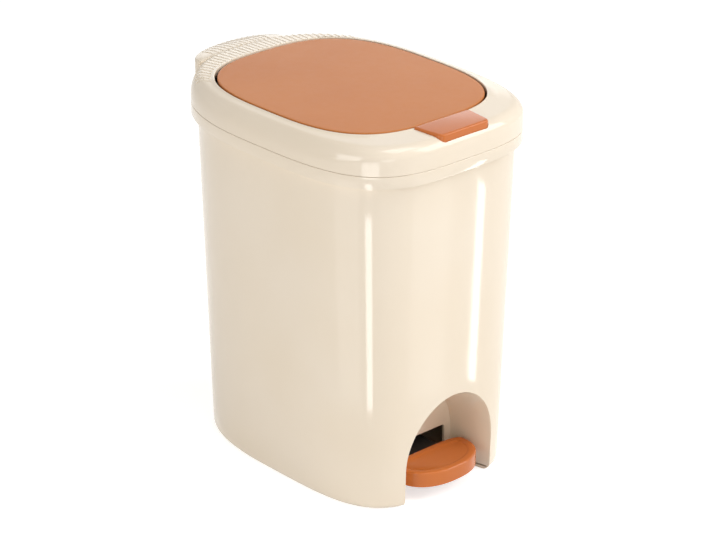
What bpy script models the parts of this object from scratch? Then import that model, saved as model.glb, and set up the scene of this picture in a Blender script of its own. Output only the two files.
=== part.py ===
"""Pedal bin with a lift-off lid ring, an inset flap, a push button and a foot niche.

Metres, +Z up, the front with the pedal towards -Y, the bin standing on Z = 0.
"""

import math

import bmesh
import bpy
from mathutils import Matrix, Vector

# Whole bin
RIM_HALF_WIDTH = 0.1092
RIM_HALF_DEPTH = 0.1452
PARTING_HEIGHT = 0.3140
RING_HEIGHT = 0.0260
WALL = 0.0024
FIT_GAP = 0.0003
CUT_OVERRUN = 0.0040
OUTLINE_POINTS = 72
CORNER_BIAS = 0.11
ROUND_SIDES = 32
ARC_STEPS = 4

# Barrel: a tapered shell with a rim flange, a floor above the pedal gear and a foot niche
FLANGE_REACH = 0.0053
FLANGE_HEIGHT = 0.0110
COVE_HEIGHT = 0.0030
EDGE_ROUND = 0.0008
SIDE_TAPER = 0.0107
FRONT_TAPER = 0.0089
FOOT_RADIUS = 0.0057
SEAM_HEIGHT = 0.0037
FLOOR_HEIGHT = 0.0380
FLOOR_THICKNESS = 0.0025
FLOOR_CORNER = 0.0030
FRONT_POWER_FOOT = 3.8
FRONT_POWER_RIM = 3.5
REAR_POWER_FOOT = 2.8
REAR_POWER_RIM = 2.55

# Foot niche in the front of the barrel
NICHE_HALF_WIDTH = 0.0535
NICHE_BACK_HALF_WIDTH = 0.0380
NICHE_DEPTH = 0.0460
NICHE_SPRING_HEIGHT = 0.0345
NICHE_WALL = 0.0022
NICHE_FLARE_POWER = 1.3
NICHE_STATION_SHARES = (0.0, 0.35, 0.7, 1.0, 1.35)
NICHE_ARCH_STEPS = 14
SLOT_HALF_WIDTH = 0.0360
SLOT_TOP_HEIGHT = 0.0350

# Base cover, its screws and the bearing blocks of the pedal
COVER_THICKNESS = 0.0026
COVER_RIM_SHARES = (0.0, 0.2, 0.55, 1.0)
COVER_RIB_HALF_SPACING = 0.0400
COVER_RIB_THICKNESS = 0.0020
COVER_RIB_HEIGHT = 0.0040
COVER_RIB_FRONT_INSET = 0.0720
COVER_RIB_REAR_INSET = 0.0280
BOSS_RADIUS = 0.0045
BOSS_SIDE_INSET = 0.0260
BOSS_FRONT_INSET = 0.0700
BOSS_REAR_INSET = 0.0520
SCREW_RADIUS = 0.0015
SCREW_HEAD_RADIUS = 0.0031
SCREW_HEAD_HEIGHT = 0.0011
SCREW_RECESS = 0.0003
SCREW_GRIP = 0.0110
AXLE_RADIUS = 0.0025
AXLE_Y = -0.0300
AXLE_HEIGHT = 0.0205
BLOCK_THICKNESS = 0.0070
BLOCK_HALF_FOOT = 0.0120
BLOCK_CROWN_RADIUS = 0.0070
AXLE_END_REACH = 0.0020
RUNNING_GAP = 0.0007

# Foot pedal and its lever
PAD_OVERHANG = 0.0075
PAD_HALF_WIDTH = 0.0410
PAD_NOSE_DEPTH = 0.0310
PAD_HEEL_DEPTH = 0.0115
PAD_FRONT_POWER = 2.3
PAD_REAR_POWER = 3.6
PAD_TOP_HEIGHT = 0.0276
PAD_DEPTH = 0.0138
PAD_EDGE_ROUND = 0.0018
PAD_RIM_WIDTH = 0.0066
PAD_TREAD_DROP = 0.0010
PAD_SHELL = 0.0022
PAD_SCREW_SPACING = 0.0220
LEVER_WALL = 0.0024
LEVER_FRONT_HALF_WIDTH = 0.0190
LEVER_HUB_HALF_WIDTH = 0.0220
LEVER_REAR_HALF_WIDTH = 0.0085
LEVER_TAPER_SHARES = (0.35, 0.8)
LEVER_FRONT_DEPTH = 0.0063
LEVER_REAR_TOP = 0.0213
LEVER_REAR_DEPTH = 0.0065
LEVER_HUB_RISE = 0.0052
LEVER_HUB_DEPTH = 0.0055
LEVER_TAIL = 0.0060
LEVER_FRONT_MARGIN = 0.0100

# Push rod and its guides
ROD_RADIUS = 0.0025
ROD_FOOT_RADIUS = 0.0040
ROD_FOOT_HEIGHT = 0.0026
ROD_TIP_RADIUS = 0.0044
ROD_TIP_LENGTH = 0.0130
ROD_TIP_CAP = 0.0025
GUIDE_HALF_WIDTH = 0.0080
GUIDE_HEIGHT = 0.0140
GUIDE_NOSE = 0.0060
GUIDE_SHARES = (0.36, 0.82)

# Lid ring
SHOULDER_DROP = 0.0054
SHOULDER_RADIUS = 0.0050
RING_SIDE_WIDTH = 0.0174
RING_FRONT_WIDTH = 0.0335
RING_REAR_WIDTH = 0.0342
LIP_WIDTH = 0.0020
LIP_DEPTH = 0.0052
LIP_ROUND = 0.0006
SPIGOT_DEPTH = 0.0080
SPIGOT_GAP = 0.0004
SPIGOT_WALL = 0.0018

# Lifting ledge at the rear of the ring
LEDGE_HALF_WIDTH = 0.0470
LEDGE_REACH = 0.0273
LEDGE_ROOT = 0.0052
LEDGE_DROP = 0.0120
LEDGE_DEPTH = 0.0100
LEDGE_POWER = 2.45
LEDGE_ROUND = 0.0018
LEDGE_RIB_COUNT = 15
LEDGE_RIB_PITCH = 0.0048
LEDGE_RIB_HEIGHT = 0.0007
LEDGE_RIB_HALF_WIDTH = 0.0009
LEDGE_RIB_SINK = 0.0008
LEDGE_RIB_END_MARGIN = 0.0032

# Flap
FLAP_GAP = 0.0018
FLAP_REAR_GAP = 0.0027
FLAP_POWER = 3.1
FLAP_REAR_POWER = 2.9
FLAP_DEPTH = 0.0037
FLAP_CROWN = 0.0007
FLAP_EDGE_ROUND = 0.0010
FLAP_SKIRT_WALL = 0.0020
FLAP_PLATE = 0.0028
FLAP_CROWN_SHARES = (0.05, 0.25, 0.55)

# Flap hinge: gooseneck bracket, pin and spring
HINGE_SETBACK = 0.0150
HINGE_DROP = 0.0140
PIN_RADIUS = 0.0020
HUB_RADIUS = 0.0045
NECK_SPACING = 0.0200
NECK_HALF_WIDTH = 0.0040
NECK_BAR = 0.0035
NECK_REACH = 0.0186
NECK_INNER_CURVE = ((-0.0186, -0.0020), (-0.0163, -0.0105), (-0.0138, -0.0123), (-0.0026, -0.0026))
NECK_OUTER_CURVE = ((0.0002, -0.0040), (-0.0143, -0.0165), (-0.0197, -0.0125), (-0.0221, -0.0020))
EAR_THICKNESS = 0.0030
EAR_RADIUS = 0.0060
EAR_GAP = 0.0008
PIN_END = 0.0030
TONGUE_ARM = 0.0095
TONGUE_DROP = 0.0059
TONGUE_RADIUS = 0.0020
TONGUE_HALF_WIDTH = 0.0045
TONGUE_BACK_CURVE = ((-0.0010, 0.0030), (-0.0065, 0.0012), (-0.0086, -0.0003))
TONGUE_FRONT_CURVE = ((-0.0070, -0.0026), (-0.0030, -0.0018))
BRACKET_PLATE = 0.0027
BRACKET_LENGTH = 0.0560
BRACKET_HALF_WIDTH = 0.0250
BRACKET_SCREW_SPACING = 0.0300
SPRING_WIRE = 0.0005
SPRING_COIL_RADIUS = 0.0034
SPRING_TURNS = 4
SPRING_PITCH = 0.0016
SPRING_LEG = 0.0060
WIRE_SIDES = 6
TURN_POINTS = 10

# Push button
BUTTON_FLAP_GAP = 0.0015
BUTTON_LENGTH = 0.0295
BUTTON_REAR_HALF_WIDTH = 0.0310
BUTTON_FRONT_HALF_WIDTH = 0.0276
BUTTON_CORNER = 0.0055
BUTTON_REAR_CORNER = 0.0012
BUTTON_PROUD = 0.0005
BUTTON_HEIGHT = 0.0075
BUTTON_SHELL = 0.0018
BUTTON_TOP_WALL = 0.0022
BUTTON_BEVEL = 0.0012
BUTTON_GAP = 0.0004
BUTTON_TRAVEL = 0.0030
POST_RADIUS = 0.0014
POST_SPACING = 0.0380
POST_LENGTH = 0.0120
STEM_HALF_WIDTH = 0.0050
STEM_THICKNESS = 0.0050
STEM_CAM_HEIGHT = 0.0070

# Latch under the front of the ring
HOUSING_HALF_WIDTH = 0.0250
HOUSING_WALL = 0.0018
HOUSING_FLOOR = 0.0020
HOUSING_DEPTH = 0.0130
HOUSING_FRONT_GAP = 0.0054
HOUSING_TAB_LENGTH = 0.0180
HOUSING_TAB_HALF_WIDTH = 0.0060
HOUSING_TAB_THICKNESS = 0.0020
HOUSING_TOP_GAP = 0.0005
SLIDER_HALF_WIDTH = 0.0080
SLIDER_HEIGHT = 0.0055
TONGUE_PLATE = 0.0035
TONGUE_REACH = 0.0061
SLIDER_FRONT_GAP = 0.0010
SLIDER_ARM = 0.0090
SLIDER_ARM_THICKNESS = 0.0030
LATCH_SPRING_RADIUS = 0.0018
LATCH_SPRING_TURNS = 8
BUTTON_SPRING_RADIUS = 0.0024
BUTTON_SPRING_TURNS = 7
COIL_WIRE = 0.0004
CATCH_HALF_WIDTH = 0.0080
CATCH_STEM = 0.0025
CATCH_NOSE = 0.0045
CATCH_NOSE_HEIGHT = 0.0015
CATCH_FRONT_SETBACK = 0.0072
CATCH_FOOT_LENGTH = 0.0145
CATCH_FOOT_THICKNESS = 0.0024

# Lift-out bucket
BUCKET_SIDE_GAP = 0.0046
BUCKET_FRONT_GAP = 0.0046
BUCKET_ROD_GAP = 0.0105
BUCKET_REAR_TAPER = 0.0060
BUCKET_WALL = 0.0020
BUCKET_RIM_DROP = 0.0140
BUCKET_RIM_WIDTH = 0.0024
BUCKET_RIM_HEIGHT = 0.0034
BUCKET_CORNER = 0.0060
BUCKET_FRONT_POWER = 3.6
BUCKET_REAR_POWER = 3.2
BUCKET_NICHE_GAP = 0.0025
GRIP_NOTCH_RADIUS = 0.0110

# Places that follow from the sizes above
NECK_HALF_WIDTH_BARREL = RIM_HALF_WIDTH - FLANGE_REACH
NECK_HALF_DEPTH_BARREL = RIM_HALF_DEPTH - FLANGE_REACH
FOOT_HALF_WIDTH = NECK_HALF_WIDTH_BARREL - SIDE_TAPER
FOOT_HALF_DEPTH = NECK_HALF_DEPTH_BARREL - FRONT_TAPER
FLANGE_BOTTOM = PARTING_HEIGHT - FLANGE_HEIGHT
NECK_HEIGHT = FLANGE_BOTTOM - COVE_HEIGHT
FLOOR_TOP = FLOOR_HEIGHT + FLOOR_THICKNESS
RING_TOP = PARTING_HEIGHT + RING_HEIGHT
SHOULDER_HEIGHT = RING_TOP - SHOULDER_DROP
FLAP_HALF_WIDTH = RIM_HALF_WIDTH - RING_SIDE_WIDTH
FLAP_FRONT_DEPTH = RIM_HALF_DEPTH - RING_FRONT_WIDTH
FLAP_REAR_DEPTH = RIM_HALF_DEPTH - RING_REAR_WIDTH
FLAP_UNDERSIDE = RING_TOP - FLAP_PLATE
HINGE_Y = FLAP_REAR_DEPTH + HINGE_SETBACK
HINGE_HEIGHT = RING_TOP - HINGE_DROP
ROD_Y = HINGE_Y - TONGUE_ARM
NICHE_BACK_Y = NICHE_DEPTH - FOOT_HALF_DEPTH
PAD_SKIRT_HEIGHT = PAD_TOP_HEIGHT - PAD_DEPTH
PAD_CENTRE_Y = PAD_NOSE_DEPTH - PAD_OVERHANG - FOOT_HALF_DEPTH
BLOCK_INNER_X = LEVER_HUB_HALF_WIDTH + RUNNING_GAP
BUTTON_REAR_Y = -FLAP_FRONT_DEPTH - BUTTON_FLAP_GAP
BUTTON_TOP = RING_TOP + BUTTON_PROUD
BUTTON_BOTTOM = BUTTON_TOP - BUTTON_HEIGHT
BUTTON_CEILING = BUTTON_TOP - BUTTON_TOP_WALL
HOUSING_TOP = BUTTON_BOTTOM - BUTTON_TRAVEL - HOUSING_TOP_GAP
HOUSING_FLOOR_TOP = HOUSING_TOP - HOUSING_DEPTH + HOUSING_FLOOR
HOUSING_BOTTOM = HOUSING_TOP - HOUSING_DEPTH
HOUSING_REAR_Y = BUTTON_REAR_Y + BUTTON_SHELL / 2 - HOUSING_WALL / 2
HOUSING_FRONT_Y = HOUSING_FRONT_GAP - RIM_HALF_DEPTH
SLIDER_BOTTOM = HOUSING_FLOOR_TOP + FIT_GAP
SLIDER_TOP = SLIDER_BOTTOM + SLIDER_HEIGHT
SLIDER_FRONT_Y = HOUSING_FRONT_Y + HOUSING_WALL + SLIDER_FRONT_GAP + BUTTON_TRAVEL
STEM_TIP_HEIGHT = HOUSING_FLOOR_TOP + BUTTON_TRAVEL + FIT_GAP
STEM_REAR_Y = HOUSING_REAR_Y - HOUSING_WALL - BUTTON_TRAVEL - FIT_GAP
STEM_TIP_Y = STEM_REAR_Y - STEM_THICKNESS
BUCKET_BOTTOM = FLOOR_TOP + FIT_GAP
BUCKET_TOP = PARTING_HEIGHT - BUCKET_RIM_DROP
BUCKET_REAR_Y = ROD_Y - BUCKET_ROD_GAP


def clear_scene():
    for item in list(bpy.data.objects):
        bpy.data.objects.remove(item, do_unlink=True)


def plastic(name, colour, roughness, metallic=0.0):
    """One Principled material."""
    made = bpy.data.materials.new(name)
    made.use_nodes = True
    shader = made.node_tree.nodes["Principled BSDF"]
    shader.inputs["Base Color"].default_value = (*colour, 1.0)
    shader.inputs["Roughness"].default_value = roughness
    shader.inputs["Metallic"].default_value = metallic
    return made


def cream(name):
    return plastic(name, (0.90, 0.80, 0.66), 0.28)


def orange(name, roughness=0.35):
    return plastic(name, (0.66, 0.26, 0.12), roughness)


def grey_nylon(name):
    return plastic(name, (0.55, 0.54, 0.52), 0.5)


def steel(name):
    return plastic(name, (0.62, 0.62, 0.63), 0.3, 1.0)


def finish(name, shape, material=None, sharp_angle=35.0):
    """Turns a bmesh into a named object, faces outwards, round faces smooth."""
    bmesh.ops.recalc_face_normals(shape, faces=shape.faces)
    mesh = bpy.data.meshes.new(name)
    shape.to_mesh(mesh)
    shape.free()
    mesh.shade_smooth()
    mesh.set_sharp_from_angle(angle=math.radians(sharp_angle))
    made = bpy.data.objects.new(name, mesh)
    bpy.context.scene.collection.objects.link(made)
    if material is not None:
        mesh.materials.append(material(name))
    return made


def tool(name, shape):
    """An object that only cuts or joins others."""
    made = finish(name, shape)
    made.hide_render = True
    made.display_type = "WIRE"
    return made


def combine(target, other, operation):
    step = target.modifiers.new(other.name, "BOOLEAN")
    step.operation = operation
    step.solver = "EXACT"
    step.object = other


def cut(target, other):
    combine(target, other, "DIFFERENCE")


def join(target, other):
    combine(target, other, "UNION")


def skin(shape, rings, closed=False):
    """Joins rings of equal count with quads; caps the two ends, or joins last to first."""
    loops = [[shape.verts.new(point) for point in ring] for ring in rings]
    pairs = list(zip(loops, loops[1:]))
    if closed:
        pairs.append((loops[-1], loops[0]))
    for lower, upper in pairs:
        count = len(lower)
        for i in range(count):
            j = (i + 1) % count
            shape.faces.new((lower[i], lower[j], upper[j], upper[i]))
    if not closed:
        shape.faces.new(loops[0])
        shape.faces.new(loops[-1])


def place(axis, first, second, along):
    """A point from two plane coordinates and one along the named axis."""
    if axis == "X":
        return Vector((along, first, second))
    if axis == "Y":
        return Vector((first, along, second))
    return Vector((first, second, along))


def prism(shape, profile, axis, start, end):
    skin(shape, [[place(axis, u, v, at) for u, v in profile] for at in (start, end)])


def box(shape, low, high):
    profile = [(low[0], low[1]), (high[0], low[1]), (high[0], high[1]), (low[0], high[1])]
    prism(shape, profile, "Z", low[2], high[2])


def circle(u, v, radius, sides=ROUND_SIDES):
    turn = 2 * math.pi / sides
    return [(u + radius * math.cos(turn * i), v + radius * math.sin(turn * i)) for i in range(sides)]


def arc(u, v, radius, start, end, steps=ARC_STEPS):
    """Points from one angle in degrees to another round (u, v)."""
    points = []
    for i in range(steps + 1):
        angle = math.radians(start + (end - start) * i / steps)
        points.append((u + radius * math.cos(angle), v + radius * math.sin(angle)))
    return points


def lathe(shape, profile, x, y, sides=ROUND_SIDES):
    """Turns (radius, height) points about an upright axis; the first and last lie on it."""
    rings = [[(u, v, height) for u, v in circle(x, y, radius, sides)] for radius, height in profile[1:-1]]
    loops = [[shape.verts.new(point) for point in ring] for ring in rings]
    ends = [shape.verts.new((x, y, profile[0][1])), shape.verts.new((x, y, profile[-1][1]))]
    for i in range(sides):
        j = (i + 1) % sides
        for lower, upper in zip(loops, loops[1:]):
            shape.faces.new((lower[i], lower[j], upper[j], upper[i]))
        shape.faces.new((ends[0], loops[0][j], loops[0][i]))
        shape.faces.new((ends[1], loops[-1][i], loops[-1][j]))


def wire(shape, path, radius, sides=WIRE_SIDES):
    """A round wire along a path, its frame carried from point to point."""
    tangents = []
    for i, point in enumerate(path):
        before = path[max(i - 1, 0)]
        after = path[min(i + 1, len(path) - 1)]
        tangents.append((after - before).normalized())
    side = tangents[0].orthogonal().normalized()
    rings = []
    for point, tangent in zip(path, tangents):
        side = (side - tangent * side.dot(tangent)).normalized()
        other = tangent.cross(side)
        rings.append([point + side * u + other * v for u, v in circle(0, 0, radius, sides)])
    skin(shape, rings)


def outline(half_width, front, rear, front_power, rear_power, height, centre_y=0.0, count=OUTLINE_POINTS):
    """A rounded rectangle whose front and rear halves have their own depth and squareness."""
    points = []
    for i in range(count):
        turn = 2 * math.pi * i / count
        angle = turn + CORNER_BIAS * math.sin(4 * turn)
        across = math.cos(angle)
        along = math.sin(angle)
        power = rear_power if along > 0 else front_power
        depth = rear if along > 0 else front
        reach = (abs(across) ** power + abs(along) ** power) ** (-1 / power)
        points.append(Vector((half_width * across * reach, centre_y + depth * along * reach, height)))
    return points


def mixed(low, high, share):
    return low + (high - low) * share


def barrel_ring(height, inset):
    """The barrel's plan outline at a height, set in from its outer wall."""
    rise = min(max((height - FOOT_RADIUS) / (NECK_HEIGHT - FOOT_RADIUS), 0.0), 1.0)
    half_width = mixed(FOOT_HALF_WIDTH, NECK_HALF_WIDTH_BARREL, rise) - inset
    half_depth = mixed(FOOT_HALF_DEPTH, NECK_HALF_DEPTH_BARREL, rise) - inset
    front_power = mixed(FRONT_POWER_FOOT, FRONT_POWER_RIM, rise)
    rear_power = mixed(REAR_POWER_FOOT, REAR_POWER_RIM, rise)
    return outline(half_width, half_depth, half_depth, front_power, rear_power, height)


def barrel_wall_rear(height):
    """How far back the barrel's inner face lies on the centre line."""
    rise = (height - FOOT_RADIUS) / (NECK_HEIGHT - FOOT_RADIUS)
    return mixed(FOOT_HALF_DEPTH, NECK_HALF_DEPTH_BARREL, rise) - WALL


def foot_inset(height):
    """The rounding of the foot edge, as an inset at a height below the foot radius."""
    below = FOOT_RADIUS - height
    return FOOT_RADIUS - math.sqrt(FOOT_RADIUS**2 - below**2)


def arch(half_width, bottom):
    """The niche's section: upright sides under a half-round top."""
    sides = arc(0, NICHE_SPRING_HEIGHT, half_width, 180, 0, NICHE_ARCH_STEPS)
    return [(-half_width, bottom), *sides, (half_width, bottom)]


def niche(shape, grow, bottom):
    """The foot niche, flaring from its back to its mouth, thickened by grow."""
    rings = []
    for share in NICHE_STATION_SHARES:
        flare = share**NICHE_FLARE_POWER
        half_width = mixed(NICHE_BACK_HALF_WIDTH, NICHE_HALF_WIDTH, flare) + grow
        back = grow if share == 0 else 0
        y = NICHE_BACK_Y - NICHE_DEPTH * share + back
        rings.append([(x, y, z) for x, z in arch(half_width, bottom)])
    skin(shape, rings)


def base_screw_places():
    """The four screw places of the base cover, as x and y."""
    x = FOOT_HALF_WIDTH - BOSS_SIDE_INSET
    front = BOSS_FRONT_INSET - FOOT_HALF_DEPTH
    rear = FOOT_HALF_DEPTH - BOSS_REAR_INSET
    return [(-x, front), (x, front), (-x, rear), (x, rear)]


def block_screw_places():
    x = BLOCK_INNER_X + BLOCK_THICKNESS / 2
    return [(-x, AXLE_Y), (x, AXLE_Y)]


def screw_places_from(places, radius, bottom, top):
    """Upright cylinders at a list of places, as one mesh."""
    shape = bmesh.new()
    for x, y in places:
        prism(shape, circle(x, y, radius), "Z", bottom, top)
    return shape


def make_barrel():
    rim = -FLANGE_REACH
    steps = [
        (FLOOR_HEIGHT, WALL),
        (FOOT_RADIUS, WALL),
        (SEAM_HEIGHT, WALL + foot_inset(SEAM_HEIGHT)),
        (SEAM_HEIGHT, foot_inset(SEAM_HEIGHT)),
        (FOOT_RADIUS, 0),
        (NECK_HEIGHT, 0),
        (NECK_HEIGHT + COVE_HEIGHT * 2 / 3, rim / 4),
        (FLANGE_BOTTOM - EDGE_ROUND / 2, rim + EDGE_ROUND),
        (FLANGE_BOTTOM + EDGE_ROUND, rim),
        (PARTING_HEIGHT - EDGE_ROUND, rim),
        (PARTING_HEIGHT, rim + EDGE_ROUND / 2),
        (PARTING_HEIGHT, rim + WALL),
        (FLANGE_BOTTOM + WALL / 2, rim + WALL),
        (NECK_HEIGHT, WALL),
        (FLOOR_TOP + FLOOR_CORNER, WALL),
        (FLOOR_TOP, WALL + FLOOR_CORNER),
    ]
    shape = bmesh.new()
    skin(shape, [barrel_ring(height, inset) for height, inset in steps])
    barrel = finish("outer_barrel", shape, cream)

    shape = bmesh.new()
    niche(shape, NICHE_WALL, SEAM_HEIGHT + FIT_GAP)
    walls = tool("niche_walls", shape)
    shape = bmesh.new()
    core_top = NICHE_SPRING_HEIGHT + 2 * NICHE_HALF_WIDTH
    skin(shape, [barrel_ring(height, WALL / 2) for height in (SEAM_HEIGHT, core_top)])
    combine(walls, tool("barrel_core", shape), "INTERSECT")
    join(barrel, walls)

    bosses = screw_places_from(
        base_screw_places(), BOSS_RADIUS, COVER_THICKNESS + FIT_GAP, FLOOR_HEIGHT + FLOOR_THICKNESS / 2
    )
    join(barrel, tool("base_bosses", bosses))

    shape = bmesh.new()
    niche(shape, 0, -CUT_OVERRUN)
    cut(barrel, tool("niche_void", shape))
    shape = bmesh.new()
    box(
        shape,
        (-SLOT_HALF_WIDTH, NICHE_BACK_Y - CUT_OVERRUN, -CUT_OVERRUN),
        (SLOT_HALF_WIDTH, NICHE_BACK_Y + NICHE_WALL + CUT_OVERRUN, SLOT_TOP_HEIGHT),
    )
    cut(barrel, tool("lever_slot", shape))
    holes = screw_places_from(
        base_screw_places(), SCREW_RADIUS + FIT_GAP, -CUT_OVERRUN, COVER_THICKNESS + SCREW_GRIP + FIT_GAP
    )
    prism(holes, circle(0, ROD_Y, ROD_FOOT_RADIUS + RUNNING_GAP), "Z", FLOOR_HEIGHT - CUT_OVERRUN, FLOOR_TOP + CUT_OVERRUN)
    cut(barrel, tool("barrel_holes", holes))
    return barrel


def make_base_cover():
    """The plate under the bin: its edge carries on the rounding of the barrel's foot."""
    top = SEAM_HEIGHT - FIT_GAP
    rings = [barrel_ring(top * share, foot_inset(top * share)) for share in COVER_RIM_SHARES]
    rings.append(barrel_ring(top, WALL))
    rings.append(barrel_ring(COVER_THICKNESS, WALL + SEAM_HEIGHT - COVER_THICKNESS))
    shape = bmesh.new()
    skin(shape, rings)
    cover = finish("base_cover", shape, cream)

    shape = bmesh.new()
    for side in (-1, 1):
        x = side * COVER_RIB_HALF_SPACING
        box(
            shape,
            (x - COVER_RIB_THICKNESS / 2, COVER_RIB_FRONT_INSET - FOOT_HALF_DEPTH, COVER_THICKNESS / 2),
            (
                x + COVER_RIB_THICKNESS / 2,
                FOOT_HALF_DEPTH - COVER_RIB_REAR_INSET,
                COVER_THICKNESS + COVER_RIB_HEIGHT,
            ),
        )
    join(cover, tool("cover_ribs", shape))

    places = base_screw_places() + block_screw_places()
    cut(
        cover,
        tool(
            "cover_holes",
            screw_places_from(places, SCREW_RADIUS + FIT_GAP, -CUT_OVERRUN, COVER_THICKNESS + CUT_OVERRUN),
        ),
    )
    depth = SCREW_RECESS + SCREW_HEAD_HEIGHT + FIT_GAP
    cut(cover, tool("cover_recesses", screw_places_from(places, SCREW_HEAD_RADIUS + FIT_GAP, -CUT_OVERRUN, depth)))
    return cover


def make_screw(name, x, y, bottom, length):
    """A pan-head screw, its head down."""
    neck = bottom + SCREW_HEAD_HEIGHT
    shape = bmesh.new()
    profile = [
        (0, bottom),
        (SCREW_HEAD_RADIUS * 3 / 4, bottom),
        (SCREW_HEAD_RADIUS, bottom + SCREW_HEAD_HEIGHT / 2),
        (SCREW_HEAD_RADIUS, neck),
        (SCREW_RADIUS, neck),
        (SCREW_RADIUS, neck + length - SCREW_RADIUS),
        (SCREW_RADIUS / 3, neck + length),
        (0, neck + length),
    ]
    lathe(shape, profile, x, y, sides=12)
    return finish(name, shape, steel)


def make_axle_block(name, side):
    """A bearing block: a broad foot that narrows to a round crown over the bore."""
    foot = COVER_THICKNESS + FIT_GAP
    crown = arc(AXLE_Y, AXLE_HEIGHT, BLOCK_CROWN_RADIUS, 165, 15, 2 * ARC_STEPS)
    toe = foot + BLOCK_CROWN_RADIUS / 2
    profile = [
        (AXLE_Y + BLOCK_HALF_FOOT, foot),
        (AXLE_Y + BLOCK_HALF_FOOT, toe),
        *reversed(crown),
        (AXLE_Y - BLOCK_HALF_FOOT, toe),
        (AXLE_Y - BLOCK_HALF_FOOT, foot),
    ]
    near = side * BLOCK_INNER_X
    far = side * (BLOCK_INNER_X + BLOCK_THICKNESS)
    shape = bmesh.new()
    prism(shape, profile, "X", near, far)
    block = finish(name, shape, grey_nylon)
    shape = bmesh.new()
    bore = circle(AXLE_Y, AXLE_HEIGHT, AXLE_RADIUS + FIT_GAP)
    prism(shape, bore, "X", near - side * CUT_OVERRUN, far + side * CUT_OVERRUN)
    cut(block, tool(name + "_bore", shape))
    middle = side * (BLOCK_INNER_X + BLOCK_THICKNESS / 2)
    shape = bmesh.new()
    prism(shape, circle(middle, AXLE_Y, SCREW_RADIUS + FIT_GAP), "Z", foot - CUT_OVERRUN, foot + SCREW_GRIP)
    cut(block, tool(name + "_screw_hole", shape))
    return block


def pad_ring(height, inset):
    return outline(
        PAD_HALF_WIDTH - inset,
        PAD_NOSE_DEPTH - inset,
        PAD_HEEL_DEPTH - inset,
        PAD_FRONT_POWER,
        PAD_REAR_POWER,
        height,
        PAD_CENTRE_Y,
        count=40,
    )


def pad_screw_places():
    return [(side * PAD_SCREW_SPACING / 2, PAD_CENTRE_Y) for side in (-1, 1)]


def make_pedal():
    """The pad: a hollow shell with a raised rim round a sunk tread."""
    tread = PAD_TOP_HEIGHT - PAD_TREAD_DROP
    steps = [
        (tread, PAD_RIM_WIDTH + PAD_TREAD_DROP),
        (PAD_TOP_HEIGHT, PAD_RIM_WIDTH),
        (PAD_TOP_HEIGHT, PAD_EDGE_ROUND),
        (PAD_TOP_HEIGHT - PAD_EDGE_ROUND / 3, PAD_EDGE_ROUND / 3),
        (PAD_TOP_HEIGHT - PAD_EDGE_ROUND, 0),
        (PAD_SKIRT_HEIGHT, 0),
        (PAD_SKIRT_HEIGHT, PAD_SHELL),
        (tread - PAD_SHELL, PAD_SHELL),
    ]
    shape = bmesh.new()
    skin(shape, [pad_ring(height, inset) for height, inset in steps])
    pad = finish("foot_pedal", shape, orange)
    holes = screw_places_from(pad_screw_places(), SCREW_RADIUS + FIT_GAP, PAD_SKIRT_HEIGHT, tread - PAD_SHELL / 2)
    cut(pad, tool("pad_screw_holes", holes))
    return pad


def lever_stations():
    """The lever's places along Y: half width, top and underside at each."""
    pad_top = PAD_TOP_HEIGHT - PAD_TREAD_DROP - PAD_SHELL - FIT_GAP
    hub_top = AXLE_HEIGHT + LEVER_HUB_RISE
    front_bottom = pad_top - LEVER_FRONT_DEPTH
    hub_bottom = AXLE_HEIGHT - LEVER_HUB_DEPTH
    pad_rear = PAD_CENTRE_Y + PAD_HEEL_DEPTH
    stations = [
        (PAD_CENTRE_Y - LEVER_FRONT_MARGIN, LEVER_FRONT_HALF_WIDTH, pad_top, front_bottom),
        (pad_rear - PAD_SHELL - FIT_GAP, LEVER_FRONT_HALF_WIDTH, pad_top, front_bottom),
        (AXLE_Y, LEVER_HUB_HALF_WIDTH, hub_top, hub_bottom),
    ]
    rear_bottom = LEVER_REAR_TOP - LEVER_REAR_DEPTH
    for share in LEVER_TAPER_SHARES:
        stations.append(
            (
                mixed(AXLE_Y, ROD_Y, share),
                mixed(LEVER_HUB_HALF_WIDTH, LEVER_REAR_HALF_WIDTH, share),
                mixed(hub_top, LEVER_REAR_TOP, share),
                mixed(hub_bottom, rear_bottom, share),
            )
        )
    stations.append((ROD_Y + LEVER_TAIL, LEVER_REAR_HALF_WIDTH, LEVER_REAR_TOP, rear_bottom))
    return stations


def make_lever():
    """A channel-section lever from under the pad, over the axle, to below the rod."""
    rings = []
    for y, half, top, bottom in lever_stations():
        inner = half - LEVER_WALL
        ceiling = top - LEVER_WALL
        section = [
            (-half, bottom),
            (-half, top),
            (half, top),
            (half, bottom),
            (inner, bottom),
            (inner, ceiling),
            (-inner, ceiling),
            (-inner, bottom),
        ]
        rings.append([(x, y, z) for x, z in section])
    shape = bmesh.new()
    skin(shape, rings)
    lever = finish("pedal_lever", shape, grey_nylon)

    shape = bmesh.new()
    prism(
        shape,
        circle(AXLE_Y, AXLE_HEIGHT, AXLE_RADIUS + LEVER_WALL),
        "X",
        -LEVER_HUB_HALF_WIDTH + LEVER_WALL / 2,
        LEVER_HUB_HALF_WIDTH - LEVER_WALL / 2,
    )
    join(lever, tool("lever_hub", shape))
    shape = bmesh.new()
    prism(
        shape,
        circle(AXLE_Y, AXLE_HEIGHT, AXLE_RADIUS + FIT_GAP),
        "X",
        -LEVER_HUB_HALF_WIDTH - CUT_OVERRUN,
        LEVER_HUB_HALF_WIDTH + CUT_OVERRUN,
    )
    cut(lever, tool("lever_bore", shape))
    return lever


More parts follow.
